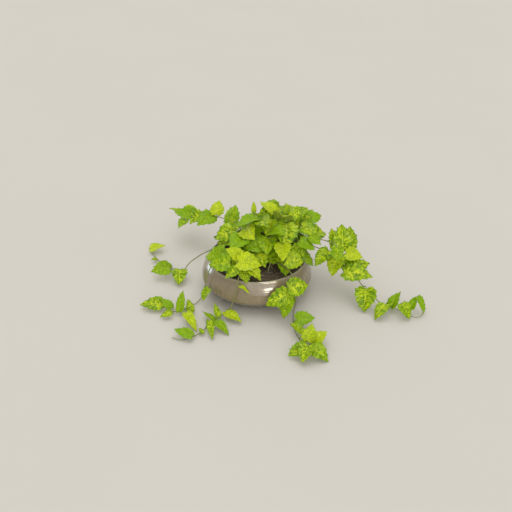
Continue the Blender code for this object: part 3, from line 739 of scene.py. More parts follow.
    def grow_crown(self, growths: list[Growth]) -> None:
        """The crown's other blades, spread evenly over the dome in two layers."""
        for count, scale, size in self.layers:
            for n in range(count):
                share = (n + 0.5) / count
                turn = n * self.golden_turn
                turn += self.dice.uniform(-self.turn_unevenness, self.turn_unevenness)
                climb = math.asin(1.0 - share)
                heading = math.degrees(turn)
                heading += self.dice.uniform(-self.crown_spread, self.crown_spread)
                pitch = self.crown_pitch - self.crown_droop * share
                pitch += self.dice.uniform(-self.crown_unevenness, self.crown_unevenness)
                roll = self.face_roll(self.dome_spot(turn, climb), heading)
                roll += self.dice.uniform(-self.face_unevenness, self.face_unevenness)
                length = size * self.dice.uniform(*self.crown_lengths)
                form = (self.dice.uniform(*self.crown_widths), *self.blade_form())
                for swing, tilt, shift in self.nudges:
                    centre = self.dome_spot(turn, climb, scale * (1.0 + shift))
                    way = direction(heading + swing, pitch + tilt)
                    if self.on_a_stem(growths, centre - way * (self.notch_setback * length), (
                            heading + swing, pitch + tilt, roll, length, *form)):
                        break


class Wiring:
    """A node tree, with short ways to add a node and feed its inputs."""

    def __init__(self, tree: bpy.types.NodeTree) -> None:
        """Keep the tree.

        Args:
            tree: The tree of a material or of a node group.
        """
        self.tree = tree

    def feed(self, socket: Socket, value: object) -> None:
        """Link a socket to another, or set its value."""
        if isinstance(value, Socket):
            self.tree.links.new(value, socket)
        else:
            socket.default_value = value

    def add(self, kind: str, inputs: dict[str | int, object] | None = None,
            out: str | int = 0, **settings: object) -> Socket:
        """Add a node.

        Args:
            kind: The node's type.
            inputs: What each input is fed with, by its name or number.
            out: The output to hand back.
            **settings: Other settings of the node.

        Returns:
            The chosen output.
        """
        node = self.tree.nodes.new(kind)
        for name, value in settings.items():
            setattr(node, name, value)
        for key, value in (inputs or {}).items():
            self.feed(node.inputs[key], value)
        return node.outputs[out]

    def sum(self, operation: str, *values: object) -> Socket:
        """Output of a Math node."""
        return self.add("ShaderNodeMath", dict(enumerate(values)), operation=operation)

    def span(self, value: object, low: object, high: object, start: object = 0.0,
             end: object = 1.0) -> Socket:
        """Output of an eased Map Range node, from low and high to start and end."""
        return self.add("ShaderNodeMapRange", {"Value": value, "From Min": low, "From Max": high,
                                               "To Min": start, "To Max": end},
                        interpolation_type="SMOOTHSTEP")

    def blend(self, share: object, first: object, second: object,
              mode: str = "MIX") -> Socket:
        """Colour between two colours.

        Args:
            share: Share of the second colour.
            first: Colour, or the output that gives it.
            second: The other colour.
            mode: How the second is laid over the first.

        Returns:
            The colour output.
        """
        colours = [(*c, 1.0) if isinstance(c, tuple) else c for c in (first, second)]
        return self.add("ShaderNodeMix", {0: share, 6: colours[0], 7: colours[1]}, out=2,
                        data_type="RGBA", blend_type=mode)

    def layered(self, colour: object,
                layers: Sequence[tuple[object, object, object]]) -> Socket:
        """Colour with others laid over it in turn.

        Args:
            colour: The lowest colour.
            layers: Each other colour, its mask and its strength.

        Returns:
            The colour output.
        """
        for over, mask, strength in layers:
            colour = self.blend(self.sum("MULTIPLY", mask, strength), colour, over)
        return colour

    def group(self, tree: bpy.types.NodeTree, inputs: dict[str, object]) -> Socket:
        """Mask of a node group placed with its own values."""
        return self.add("ShaderNodeGroup", inputs, "Mask", node_tree=tree)

    def mottled(self, place: object, scale: float, detail: float, low: float,
                high: float) -> Socket:
        """Mask of the mottling group."""
        return self.group(mottling(), {"Place": place, "Scale": scale, "Detail": detail,
                                       "Low": low, "High": high})

    def attribute(self, name: str) -> Socket:
        """Value of one of the piece's own attributes."""
        return self.add("ShaderNodeAttribute", out="Fac", attribute_name=name)

    def place(self) -> Socket:
        """Object coordinates."""
        return self.add("ShaderNodeTexCoord", out="Object")


def new_group(name: str, inputs: dict[str, object]
              ) -> tuple[Wiring, bpy.types.Node, bpy.types.Node]:
    """Start a shader node group that puts out a mask.

    Args:
        name: The group's name.
        inputs: Its inputs and their first values, vectors where the value is a tuple.

    Returns:
        Its wiring, its input node and its output node.
    """
    tree = bpy.data.node_groups.new(name, "ShaderNodeTree")
    for key, value in inputs.items():
        kind = "NodeSocketVector" if isinstance(value, tuple) else "NodeSocketFloat"
        tree.interface.new_socket(key, in_out="INPUT", socket_type=kind).default_value = value
    tree.interface.new_socket("Mask", in_out="OUTPUT", socket_type="NodeSocketFloat")
    return Wiring(tree), tree.nodes.new("NodeGroupInput"), tree.nodes.new("NodeGroupOutput")


@lru_cache(maxsize=None)
def mottling() -> bpy.types.NodeTree:
    """Group for soft uneven patches: a mask from noise between two levels."""
    wiring, given, result = new_group("mottling", {
        "Place": (0.0, 0.0, 0.0), "Scale": 50.0, "Detail": 3.0, "Low": 0.4, "High": 0.6})
    cloud = wiring.add("ShaderNodeTexNoise", {"Vector": given.outputs["Place"],
                                              "Scale": given.outputs["Scale"],
                                              "Detail": given.outputs["Detail"]})
    mask = wiring.span(cloud, given.outputs["Low"], given.outputs["High"])
    wiring.feed(result.inputs["Mask"], mask)
    return wiring.tree


@lru_cache(maxsize=None)
def speckling() -> bpy.types.NodeTree:
    """Group for scattered specks: a mask of small spots in some of the cells."""
    wiring, given, result = new_group("speckling", {
        "Place": (0.0, 0.0, 0.0), "Scale": 300.0, "Size": 0.2, "Share": 0.3})
    cells = {"Vector": given.outputs["Place"], "Scale": given.outputs["Scale"]}
    near = wiring.add("ShaderNodeTexVoronoi", cells, out="Distance")
    draw = wiring.add("ShaderNodeSeparateColor",
                      {0: wiring.add("ShaderNodeTexVoronoi", cells, out="Color")})
    chosen = wiring.sum("LESS_THAN", draw, given.outputs["Share"])
    spot = wiring.span(near, given.outputs["Size"], 0.0)
    wiring.feed(result.inputs["Mask"], wiring.sum("MULTIPLY", chosen, spot))
    return wiring.tree


class Paint:
    """A new material with its wiring and its Principled shader."""

    def __init__(self, name: str) -> None:
        """Start the material.

        Args:
            name: The material's name.
        """
        self.material = bpy.data.materials.new(name)
        self.material.use_nodes = True
        self.wiring = Wiring(self.material.node_tree)
        self.shader = self.material.node_tree.nodes["Principled BSDF"]

    def set(self, **inputs: object) -> None:
        """Feed the shader's sockets, named with _ for each space."""
        for key, value in inputs.items():
            self.wiring.feed(self.shader.inputs[key.replace("_", " ")], value)

    def bump(self, height: Socket, depth: float) -> None:
        """Feed the normal with a bump.

        Args:
            height: Height output, from 0 to 1.
            depth: Millimetres that a height of 1 stands for.
        """
        self.set(Normal=self.wiring.add("ShaderNodeBump", {"Height": height,
                                                           "Distance": depth * MM}))


@lru_cache(maxsize=None)
def streaking() -> bpy.types.NodeTree:
    """Group for streaks that fan out from a midrib: a mask from drawn-out noise."""
    wiring, given, result = new_group("streaking", {
        "Along": 0.0, "Across": 0.0, "Draw": 0.0, "Count": 10.0, "Length": 1.5,
        "Low": 0.4, "High": 0.6})
    place = wiring.add("ShaderNodeCombineXYZ", {
        0: wiring.sum("MULTIPLY", given.outputs["Along"], given.outputs["Count"]),
        1: wiring.sum("MULTIPLY", given.outputs["Across"], given.outputs["Length"]),
        2: wiring.sum("MULTIPLY", given.outputs["Draw"], 40.0)})
    cloud = wiring.add("ShaderNodeTexNoise", {"Vector": place, "Scale": 1.0, "Detail": 2.5,
                                              "Roughness": 0.6, "Distortion": 0.35})
    mask = wiring.span(cloud, given.outputs["Low"], given.outputs["High"])
    wiring.feed(result.inputs["Mask"], mask)
    return wiring.tree


@dataclass(frozen=True)
class BladeFinish:
    """Lime blade, streaked with deeper green that fans out from a pale midrib; painted shade inside
    the crown.
    """

    lime: Colour = (0.39, 0.545, 0.002)
    bright: Colour = (0.62, 0.72, 0.015)
    deep: Colour = (0.062, 0.160, 0.002)
    mid: Colour = (0.20, 0.37, 0.002)
    vein: Colour = (0.56, 0.66, 0.04)
    underside: Colour = (0.44, 0.58, 0.07)
    veins: float = 6.0
    roughness: float = 0.32

    def material(self) -> bpy.types.Material:
        """The blades' material."""
        paint = Paint("leaf_blade")
        w = paint.wiring
        flat = w.add("ShaderNodeUVMap", uv_map="leaf_uv")
        along = w.add("ShaderNodeSeparateXYZ", {0: flat}, out="X")
        over = w.add("ShaderNodeSeparateXYZ", {0: flat}, out="Y")
        across = w.sum("ABSOLUTE", w.sum("MULTIPLY_ADD", over, 2.0, -1.0))
        # age_and_shade is each blade's random youth, lowered for blades deep in the crown as
        # painted shade.
        under, age_and_shade = w.attribute("under"), w.attribute("age_and_shade")

        def streaks(count: float, length: float, low: float, high: float) -> Socket:
            """Streaks of one size, unlike on the two halves and on each blade."""
            return w.group(streaking(), {"Along": along, "Across": over, "Draw": age_and_shade,
                                         "Count": count, "Length": length, "Low": low,
                                         "High": high})

        broad = streaks(7.0, 3.2, 0.40, 0.62)
        fine = streaks(46.0, 3.2, 0.42, 0.56)
        pale = streaks(15.0, 4.5, 0.50, 0.62)
        grain = w.mottled(w.place(), 900.0, 2.0, 0.3, 0.7)
        beat = w.sum("FRACT", w.sum("MULTIPLY", along, self.veins))
        off_vein = w.sum("ABSOLUTE", w.sum("MULTIPLY_ADD", beat, 2.0, -1.0))
        inner = w.span(across, 0.02, 0.2)
        line = w.sum("MULTIPLY", w.span(off_vein, 0.86, 0.98), inner)
        between = w.sum("MULTIPLY", w.span(off_vein, 0.75, 0.25), inner)
        midrib = w.span(across, 0.07, 0.02)
        colour = w.blend(w.span(across, 0.8, 0.05, 0.0, 0.5), self.lime, self.bright)
        colour = w.blend(w.span(across, 0.55, 1.0, 0.0, 0.6), colour, self.mid)
        colour = w.layered(colour, (
            (self.mid, broad, 0.8),
            (self.deep, fine, w.span(across, 1.0, 0.1, 0.6, 0.9)),
            (self.deep, w.sum("MULTIPLY", between, broad), 0.6),
            (self.bright, pale, w.span(across, 0.1, 0.9, 0.9, 0.45)),
            (self.vein, w.sum("MAXIMUM", w.sum("MULTIPLY", line, 0.4), midrib), 0.6),
            # Blades out on the crown can be brightened, partly as painted light; blades deep in it
            # are darkened with mid green as painted shade.
            (self.bright, w.span(age_and_shade, 0.72, 0.9), 0.45),
            (self.mid, w.span(age_and_shade, 0.4, 0.05), 0.8),
            (self.underside, under, 0.7)))
        rough = w.span(grain, 0.0, 1.0, self.roughness - 0.06, self.roughness + 0.1)
        paint.set(Base_Color=colour, Roughness=w.sum("MULTIPLY_ADD", under, 0.14, rough),
                  Specular_IOR_Level=0.12)
        height = w.sum("ADD", w.sum("MULTIPLY", line, -0.7), w.sum("MULTIPLY", fine, 0.35))
        paint.bump(w.sum("MULTIPLY_ADD", grain, 0.12, height), 0.4)
        return paint.material


@dataclass(frozen=True)
class StrandFinish:
    """Green petioles and vines that turn tan and ridged with age."""

    green: Colour = (0.24, 0.33, 0.05)
    ridge: Colour = (0.15, 0.21, 0.04)
    tan: Colour = (0.21, 0.155, 0.07)
    roughness: float = 0.5

    def material(self) -> bpy.types.Material:
        """The stems' material."""
        paint = Paint("leaf_stem")
        w = paint.wiring
        place = w.place()
        patches = w.mottled(place, 110.0, 4.0, 0.35, 0.65)
        fibres = w.mottled(place, 700.0, 3.0, 0.3, 0.7)
        bark = w.sum("MULTIPLY", w.attribute("bark"), w.span(patches, 0.0, 1.0, 0.6, 1.2))
        colour = w.blend(w.sum("MULTIPLY", fibres, 0.5), self.green, self.ridge)
        colour = w.blend(bark, colour, self.tan)
        paint.set(Base_Color=colour,
                  Roughness=w.span(bark, 0.0, 1.0, self.roughness, self.roughness + 0.25))
        paint.bump(fibres, 0.15)
        return paint.material


@dataclass(frozen=True)
class GlazeFinish:
    """Glossy taupe glaze, thin and warm on the lip, with faint rings from the wheel and painted
    shade low down.
    """

    taupe: Colour = (0.268, 0.208, 0.118)
    # Dark pooled glaze, also laid low on the belly as painted shade.
    pooled_glaze_and_shade: Colour = (0.105, 0.078, 0.036)
    thin: Colour = (0.36, 0.32, 0.20)
    fleck: Colour = (0.07, 0.05, 0.03)
    clay: Colour = (0.33, 0.26, 0.18)
    lip_height: float = 85.0
    lip_band: Pair = (5.0, 0.5)
    foot_band: Pair = (2.0, 0.8)
    painted_shade_band: Pair = (34.0, 6.0)
    ring_spacing: float = 5.2
    roughness: float = 0.2

    def material(self) -> bpy.types.Material:
        """The bowl's material."""
        paint = Paint("glazed_bowl")
        w = paint.wiring
        place = w.place()
        height = w.add("ShaderNodeSeparateXYZ", {0: place}, out="Z")
        patches = w.mottled(place, 16.0, 5.0, 0.35, 0.65)
        cloud = w.mottled(place, 95.0, 5.0, 0.3, 0.7)
        specks = w.group(speckling(), {"Place": place, "Scale": 330.0, "Size": 0.2,
                                       "Share": 0.08})
        turn = w.sum("MULTIPLY_ADD", height, math.tau / (self.ring_spacing * MM),
                     w.sum("MULTIPLY", patches, 1.5))
        rings = w.sum("MULTIPLY_ADD", w.sum("SINE", turn), 0.5, 0.5)
        lip = w.span(height, *[(self.lip_height - below) * MM for below in self.lip_band])
        foot = w.span(height, *[level * MM for level in self.foot_band])
        # Painted shade: the lower belly, towards the foot, is darkened with the pooled colour and
        # has less coat.
        low = w.span(height, *[level * MM for level in self.painted_shade_band])
        colour = w.layered(self.taupe, (
            (self.pooled_glaze_and_shade, patches, 0.3), (self.thin, cloud, 0.12), (self.pooled_glaze_and_shade, rings, 0.14),
            (self.pooled_glaze_and_shade, low, 0.9), (self.thin, lip, 0.65), (self.fleck, specks, 0.35)))
        colour = w.blend(foot, colour, self.clay)
        rough = w.span(w.sum("ADD", w.sum("MULTIPLY", cloud, 0.6), foot), 0.0, 1.0,
                       self.roughness, self.roughness + 0.16)
        paint.set(Base_Color=colour, Roughness=rough, Coat_Roughness=0.1,
                  Coat_Weight=w.sum("SUBTRACT", 0.7, w.sum("MULTIPLY", low, 0.6)))
        paint.bump(w.sum("ADD", w.sum("MULTIPLY", rings, 0.5), w.sum("MULTIPLY", cloud, 0.3)), 0.2)
        return paint.material


@dataclass(frozen=True)
class EarthFinish:
    """Potting mix or one of the lumps in it, from a dark and a light colour."""

    name: str
    dark: Colour
    light: Colour
    scale: float
    roughness: float = 0.9
    depth: float = 0.6

    def material(self) -> bpy.types.Material:
        """The material of the mix or its lumps."""
        paint = Paint(self.name)
        w = paint.wiring
        place = w.place()
        clods = w.mottled(place, self.scale, 6.0, 0.35, 0.68)
        dust = w.mottled(place, 5.0 * self.scale, 3.0, 0.3, 0.7)
        colour = w.blend(w.sum("MULTIPLY_ADD", dust, 0.35, w.sum("MULTIPLY", clods, 0.65)),
                         self.dark, self.light)
        paint.set(Base_Color=colour, Roughness=w.span(dust, 0.0, 1.0, self.roughness - 0.1,
                                                      self.roughness + 0.08))
        paint.bump(w.sum("MULTIPLY_ADD", dust, 0.4, clods), self.depth)
        return paint.material


@dataclass(frozen=True)
class TableFinish:
    """Pale matt table top."""

    colour: Colour = (0.616, 0.585, 0.525)

    def material(self) -> bpy.types.Material:
        """The table's material."""
        paint = Paint("table_top")
        w = paint.wiring
        haze = w.mottled(w.place(), 2.0, 2.0, 0.2, 0.8)
        other = tuple(0.985 * share for share in self.colour)
        paint.set(Base_Color=w.blend(haze, self.colour, other), Roughness=1.0,
                  Specular_IOR_Level=0.0)
        return paint.material


def linked(name: str, data: bpy.types.ID) -> bpy.types.Object:
    """A new object in the scene."""
    made = bpy.data.objects.new(name, data)
    bpy.context.scene.collection.objects.link(made)
    return made


def meshed(name: str, bm: bmesh.types.BMesh) -> bpy.types.Mesh:
    """A new mesh from a bmesh, which is freed."""
    mesh = bpy.data.meshes.new(name)
    bm.to_mesh(mesh)
    bm.free()
    return mesh


def in_metres(bm: bmesh.types.BMesh) -> bmesh.types.BMesh:
    """The same bmesh, brought from millimetres to metres."""
    bmesh.ops.scale(bm, vec=(MM, MM, MM), verts=bm.verts)
    return bm


def add_piece(name: str, bm: bmesh.types.BMesh, material: bpy.types.Material,
              node: str, crisp: float = 50.0) -> bpy.types.Object:
    """Make a bmesh a piece that stands for a CAD node.

    Args:
        name: The piece's name.
        bm: The shape in metres, which is freed.
        material: Its finish.
        node: The CAD node that it replaces.
        crisp: Edges sharper than this, in degrees, aren't smoothed.

    Returns:
        The piece.
    """
    mesh = meshed(name, bm)
    mesh.shade_smooth()
    mesh.set_sharp_from_angle(angle=math.radians(crisp))
    mesh.materials.append(material)
    piece = linked(name, mesh)
    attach(piece, BODY)
    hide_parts(node)
    mesh.calc_loop_triangles()
    LOG.info("%s: %d triangles for %s", name, len(mesh.loop_triangles), node)
    return piece


def spun(profile: Sequence[Pair], segments: int) -> bmesh.types.BMesh:
    """Turn a profile round the vertical axis.

    Args:
        profile: Radius and height of each point, in millimetres, between two on the axis.
        segments: Faces round the shape.

    Returns:
        The closed shape, in millimetres.
    """
    bm = bmesh.new()
    verts = [bm.verts.new((radius, 0.0, height)) for radius, height in profile]
    edges = [bm.edges.new(pair) for pair in zip(verts, verts[1:])]
    bmesh.ops.spin(bm, geom=verts + edges, cent=(0, 0, 0), axis=(0, 0, 1), angle=math.tau,
                   steps=segments, use_merge=True)
    bmesh.ops.remove_doubles(bm, verts=bm.verts, dist=0.01)
    bmesh.ops.recalc_face_normals(bm, faces=bm.faces)
    return bm


@dataclass
class Bowl:
    """The glazed bowl: a flared belly drawn in to a rounded lip. Sizes in millimetres."""

    base_radius: float = 84.0
    belly_radius: float = 130.0
    belly_height: float = 38.0
    foot_roundness: float = 1.2
    shoulder_depth: float = 50.0
    shoulder_height: float = 62.0
    height: float = 85.0
    wall: float = 5.0
    floor_thickness: float = 6.0
    foot_ring: float = 7.0
    foot_hollow: float = 1.6
    ring_spacing: float = 5.2
    ring_depth: float = 0.12
    segments: int = 144
    side_steps: int = 48
    side_easing: float = 1.3
    lip_steps: int = 12

    def outer_radius(self, height: float) -> float:
        """Outer radius at a height, without the rings left by the wheel."""
        if height < self.belly_height:
            drop = (1.0 - height / self.belly_height) ** self.foot_roundness
            flare = (1.0 - drop) ** (1.0 / self.foot_roundness)
            return self.base_radius + (self.belly_radius - self.base_radius) * flare
        climb = (height - self.belly_height) / self.shoulder_height
        return self.belly_radius - self.shoulder_depth * (1.0 - math.sqrt(1.0 - climb * climb))

    def inner_radius(self, height: float, depth: float) -> float:
        """Radius of the face that lies a depth inside the outer one.

        Args:
            height: Height above the base.
            depth: Depth square to the outer face.

        Returns:
            The radius.
        """
        slope = self.outer_radius(height + 0.5) - self.outer_radius(height - 0.5)
        return self.outer_radius(height) - depth * math.hypot(1.0, slope)

    def ringed_radius(self, height: float) -> float:
        """Outer radius with the shallow rings left by the wheel, smooth at foot and lip."""
        fade = smoothstep(2.0, 10.0, height) * smoothstep(self.height, self.height - 9.0, height)
        turn = math.tau * height / self.ring_spacing
        ring = math.sin(turn) + 0.6 * math.sin(0.37 * turn + 1.0)
        return self.outer_radius(height) + self.ring_depth * fade * (ring - 1.6)

    def profile(self) -> list[Pair]:
        """Outline from the middle of the hollow foot, round the lip, to the floor inside."""
        ring_inside = self.base_radius - self.foot_ring
        points = [(0.0, self.foot_hollow), (ring_inside - 2.0, self.foot_hollow),
                  (ring_inside - 0.5, 0.35), (ring_inside, 0.0), (self.base_radius - 0.6, 0.0)]
        lip_radius = self.wall / 2.0
        lip_height = self.height - lip_radius
        for step in range(self.side_steps):
            height = lip_height * (step / self.side_steps) ** self.side_easing
            points.append((self.ringed_radius(max(height, 0.5)), max(height, 0.5)))
        for step in range(self.lip_steps + 1):
            turn = math.pi * step / self.lip_steps
            points.append((self.outer_radius(lip_height) - lip_radius * (1.0 - math.cos(turn)),
                           lip_height + lip_radius * math.sin(turn)))
        inner_steps = self.side_steps // 3
        for step in range(1, inner_steps + 1):
            share = 1.0 - step / inner_steps
            height = self.floor_thickness + (lip_height - self.floor_thickness) * share
            points.append((self.inner_radius(height, self.wall), height))
        return points + [(0.0, self.floor_thickness)]

    def build(self, finish: GlazeFinish) -> None:
        """Make the bowl's piece.

        Args:
            finish: The glaze.
        """
        bm = in_metres(spun(self.profile(), self.segments))
        add_piece("bowl", bm, finish.material(), "pot")


@dataclass
class Soil:
    """The potting mix: a lumpy mounded body with crumbs and pale specks on it."""

    bowl: Bowl
    height: float = 75.0
    gap: float = 0.3
    mound: float = 4.0
    rings: int = 44
    segments: int = 144
    grain_height: float = 1.1
    grain_scale: float = 0.16
    body_heights: tuple[float, ...] = (42.0, 25.0, 13.0)
    crumbs: int = 520
    crumb_sizes: Pair = (0.7, 2.6)
    specks: int = 110
    speck_sizes: Pair = (0.8, 1.9)
    lump_bias: float = 2.5
    lump_stand: float = 0.35
    lump_unevenness: Pair = (0.68, 1.1)
    lump_lengths: Pair = (0.9, 1.5)
    lump_heights: Pair = (0.55, 0.9)
    seed: int = 5

    def edge(self) -> float:
        """Radius of the soil's level edge."""
        return self.bowl.inner_radius(self.height, self.bowl.wall + self.gap)

    def surface(self, x: float, y: float) -> float:
        """Height of the fine surface.

        Args:
            x: Place to the right, in millimetres.
            y: Place away from the viewer.

        Returns:
            The height above the base.
        """
        share = min(math.hypot(x, y) / self.edge(), 1.0)
        lumps = (1.5 * math.sin(0.11 * x + 0.5) * math.cos(0.09 * y - 0.8)
                 + 1.0 * math.sin(0.23 * x - 0.17 * y) + 0.6 * math.sin(0.31 * x + 0.41 * y))
        place = Vector((x, y, 0.0)) * self.grain_scale
        grain = noise.fractal(place, 0.7, 2.1, 4) * self.grain_height
        return self.height + (self.mound + lumps + grain) * (1.0 - share ** 4)

    def body(self, finish: EarthFinish) -> None:
        """Make the body of the mix.

        Args:
            finish: Its finish.
        """
        depth = self.bowl.wall + self.gap
        bottom = self.bowl.floor_thickness + self.gap
        profile = [(self.edge() * n / self.rings, self.height) for n in range(self.rings + 1)]
        profile += [(self.bowl.inner_radius(height, depth), height) for height in self.body_heights]
        profile += [(self.bowl.inner_radius(self.bowl.floor_thickness, depth), bottom),
                    (0.0, bottom)]
        bm = spun(profile, self.segments)
        for vert in bm.verts:
            if vert.co.z > self.height - self.gap:
                vert.co.z = self.surface(vert.co.x, vert.co.y)
        add_piece("soil_body", in_metres(bm), finish.material(), "soil", crisp=80.0)

    def scatter(self, name: str, count: int, sizes: Pair,
                finish: EarthFinish, dice: random.Random) -> None:
        """Make a piece of small lumps, each half sunk in the surface.

        Args:
            name: The piece's name.
            count: How many lumps.
            sizes: Smallest and largest radius in millimetres.
            finish: Their finish.
            dice: The draws.
        """
        bm = bmesh.new()
        for _ in range(count):
            turn, spread = dice.uniform(0.0, math.tau), math.sqrt(dice.random())
            radius = sizes[0] + (sizes[1] - sizes[0]) * dice.random() ** self.lump_bias
            reach = (self.edge() - 2.0 * radius) * spread
            x, y = reach * math.cos(turn), reach * math.sin(turn)
            place = Vector((x, y, self.surface(x, y) + self.lump_stand * radius))
            lump = bmesh.ops.create_icosphere(bm, subdivisions=1, radius=radius)["verts"]
            for vert in lump:
                vert.co *= dice.uniform(*self.lump_unevenness)
            turned = Matrix.Rotation(dice.uniform(0.0, math.tau), 4, dice_axis(dice))
            flat = Matrix.Diagonal((dice.uniform(*self.lump_lengths), 1.0,
                                    dice.uniform(*self.lump_heights), 1.0))
            bmesh.ops.transform(bm, matrix=Matrix.Translation(place) @ flat @ turned, verts=lump)
        add_piece(name, in_metres(bm), finish.material(), "soil", crisp=35.0)

    def build(self) -> None:
        """Make the body, its crumbs and its pale specks."""
        dice = random.Random(self.seed)
        self.body(EarthFinish("potting_mix", (0.030, 0.021, 0.009), (0.125, 0.085, 0.036), 140.0))
        self.scatter("soil_crumbs", self.crumbs, self.crumb_sizes,
                     EarthFinish("mix_crumbs", (0.040, 0.028, 0.014), (0.18, 0.125, 0.06), 260.0,
                                 depth=0.3), dice)
        self.scatter("soil_specks", self.specks, self.speck_sizes,
                     EarthFinish("pale_specks", (0.42, 0.39, 0.33), (0.62, 0.60, 0.54), 420.0,
                                 depth=0.2), dice)


def dice_axis(dice: random.Random) -> Vector:
    """A random axis."""
    return Vector([dice.gauss(0.0, 1.0) for _ in range(3)]).normalized()


@dataclass
class BladeMould:
    """Fine form of every blade: a closed slab laid over a planned blade."""

    rows: int = 42
    columns: int = 12
    veins: int = 6
    pleat_height: float = 0.0075
    arch: float = 0.016
    edge_curl: float = 0.014
    midrib_easing: float = 2.1
    vein_easing: float = 1.35
    tooth_easing: int = 3
    end_fades: Pair = (0.12, 0.15)
    swell_reach: float = 0.94
    swell_easing: float = 0.6
    thickness: Pair = (0.8, 0.4)

    def __post_init__(self) -> None:
        """Cut the slab once, and keep the outline."""
        self.outline = OUTLINE.route()
        self.slab = self.cut_slab()
        self.rim = lru_cache(maxsize=None)(self.rim_at)

    def cut_slab(self) -> bpy.types.Mesh:
        """Flat closed slab whose ends are drawn together into the notch and the tip."""
        bm = bmesh.new()
        bm.loops.layers.uv.new("leaf_uv")
        under = bm.faces.layers.float.new("under")
        bm.faces.layers.float.new("age_and_shade")
        bmesh.ops.create_grid(bm, x_segments=self.rows, y_segments=self.columns, size=0.5,
                              calc_uvs=True)
        copied = bmesh.ops.extrude_face_region(bm, geom=list(bm.faces), use_keep_orig=True)
        low = [item for item in copied["geom"] if isinstance(item, bmesh.types.BMVert)]
        bmesh.ops.translate(bm, verts=low, vec=(0.0, 0.0, -1.0))
        for face in bm.faces:
            face[under] = float(face.calc_center_median().z < -0.9)
        for end in (-0.5, 0.5):
            for level in (0.0, -1.0):
                row = [v for v in bm.verts if (v.co - Vector((end, v.co.y, level))).length < 1e-4]
                bmesh.ops.pointmerge(bm, verts=row, merge_co=(end, 0.0, level))
        bmesh.ops.recalc_face_normals(bm, faces=bm.faces)
        return meshed("blade_slab", bm)

    def rim_at(self, share: float) -> Vector:
        """Point of the outline at a share of its length, in shares of the blade's length."""
        return self.outline.at(share)[0]

    def relief(self, share: float, across: float, phase: float) -> float:
        """Height of the blade's fine form above its folded face.

        Args:
            share: How far round the outline the row ends.
            across: How far out from the midrib, from -1 to 1.
            phase: Turn at which the edge's wave starts.

        Returns:
            The height as a share of the blade's length.
        """
        out = abs(across)
        ends = min(1.0, share / self.end_fades[0], (1.0 - share) / self.end_fades[1])
        side = 1.0 if across > 0.0 else -1.0
        wave = OUTLINE.lift(share ** OUTLINE.wave_easing, phase + side) * ends * out ** 1.5
        swell = 0.0
        if out > 0.0:
            swell = math.sin(math.pi * min(out, self.swell_reach)) ** self.swell_easing
        pleat = self.pleat_height * math.cos(math.tau * self.veins * share) * swell * ends
        return wave + pleat + self.arch * math.sin(math.pi * out) * ends - self.edge_curl * out ** 6

    def lay(self, bm: bmesh.types.BMesh, blade: Blade, age_and_shade: float) -> None:
        """Lay a slab over a planned blade.

        Args:
            bm: Where the slab is added, in millimetres.
            blade: The planned blade.
            age_and_shade: How young its colour is, lowered for painted shade deep in the crown, 0
                to 1.
        """
        first_vert, first_face = len(bm.verts), len(bm.faces)
        bm.from_mesh(self.slab)
        bm.verts.ensure_lookup_table()
        bm.faces.ensure_lookup_table()
        for vert in bm.verts[first_vert:]:
            share, across = vert.co.x + 0.5, 2.0 * vert.co.y
            out = abs(across)
            rim = self.rim(round(share, 6))
            inner = share ** self.midrib_easing
            forward = inner + (rim.x - inner) * out ** self.vein_easing
            tooth = OUTLINE.tooth(share, blade.phase + math.copysign(1.0, across))
            tooth *= out ** self.tooth_easing
            forward += OUTLINE.tooth_lean * tooth
            lift = self.relief(share, across, blade.phase)
            thick = self.thickness[0] + (self.thickness[1] - self.thickness[0]) * out
            lift += (0.5 + vert.co.z) * thick / blade.length
            sideways = rim.y * across + math.copysign(tooth, across)
            vert.co = blade.spot(forward, sideways, lift)
        layer = bm.faces.layers.float["age_and_shade"]
        for face in bm.faces[first_face:]:
            face[layer] = age_and_shade


@dataclass
class Strand:
    """A stem, petiole or root: its points and radii in millimetres, and its tissue."""

    points: list[Vector]
    radii: list[float]
    tissue: Tissue


@dataclass
class StrandMaker:
    """Turns strands into closed tubes with a round section."""

    section_steps: dict[Tissue, int] = field(default_factory=lambda: {
        Tissue.PETIOLE: 1, Tissue.VINE: 2, Tissue.AERIAL_ROOT: 0})

    def tubes(self, strands: list[Strand], tissue: Tissue) -> bpy.types.Mesh:
        """Tubes of the strands of one tissue.

        Args:
            strands: All the strands.
            tissue: The tissue wanted.

        Returns:
            Their mesh, in metres.
        """
        curve = bpy.data.curves.new("strands", "CURVE")
        curve.dimensions = "3D"
        curve.bevel_depth = MM
        curve.bevel_resolution = self.section_steps[tissue]
        curve.use_fill_caps = True
        for strand in strands:
            if strand.tissue is tissue:
                spline = curve.splines.new("POLY")
                spline.points.add(len(strand.points) - 1)
                for point, place, radius in zip(spline.points, strand.points, strand.radii):
                    point.co, point.radius = (*(place * MM), 1.0), radius
        holder = linked("strands", curve)
        seen = holder.evaluated_get(bpy.context.evaluated_depsgraph_get())
        mesh = bpy.data.meshes.new_from_object(seen)
        bpy.data.objects.remove(holder)
        bpy.data.curves.remove(curve)
        return mesh

    def merged(self, strands: list[Strand]) -> bmesh.types.BMesh:
        """All the strands as one bmesh, in metres, with each face's share of bark."""
        bm = bmesh.new()
        bark = bm.faces.layers.float.new("bark")
        for tissue in Tissue:
            if any(strand.tissue is tissue for strand in strands):
                first = len(bm.faces)
                bm.from_mesh(self.tubes(strands, tissue))
                bm.faces.ensure_lookup_table()
                for face in bm.faces[first:]:
                    face[bark] = tissue.value
        bmesh.ops.remove_doubles(bm, verts=bm.verts, dist=0.002 * MM)
        bmesh.ops.recalc_face_normals(bm, faces=bm.faces)
        return bm


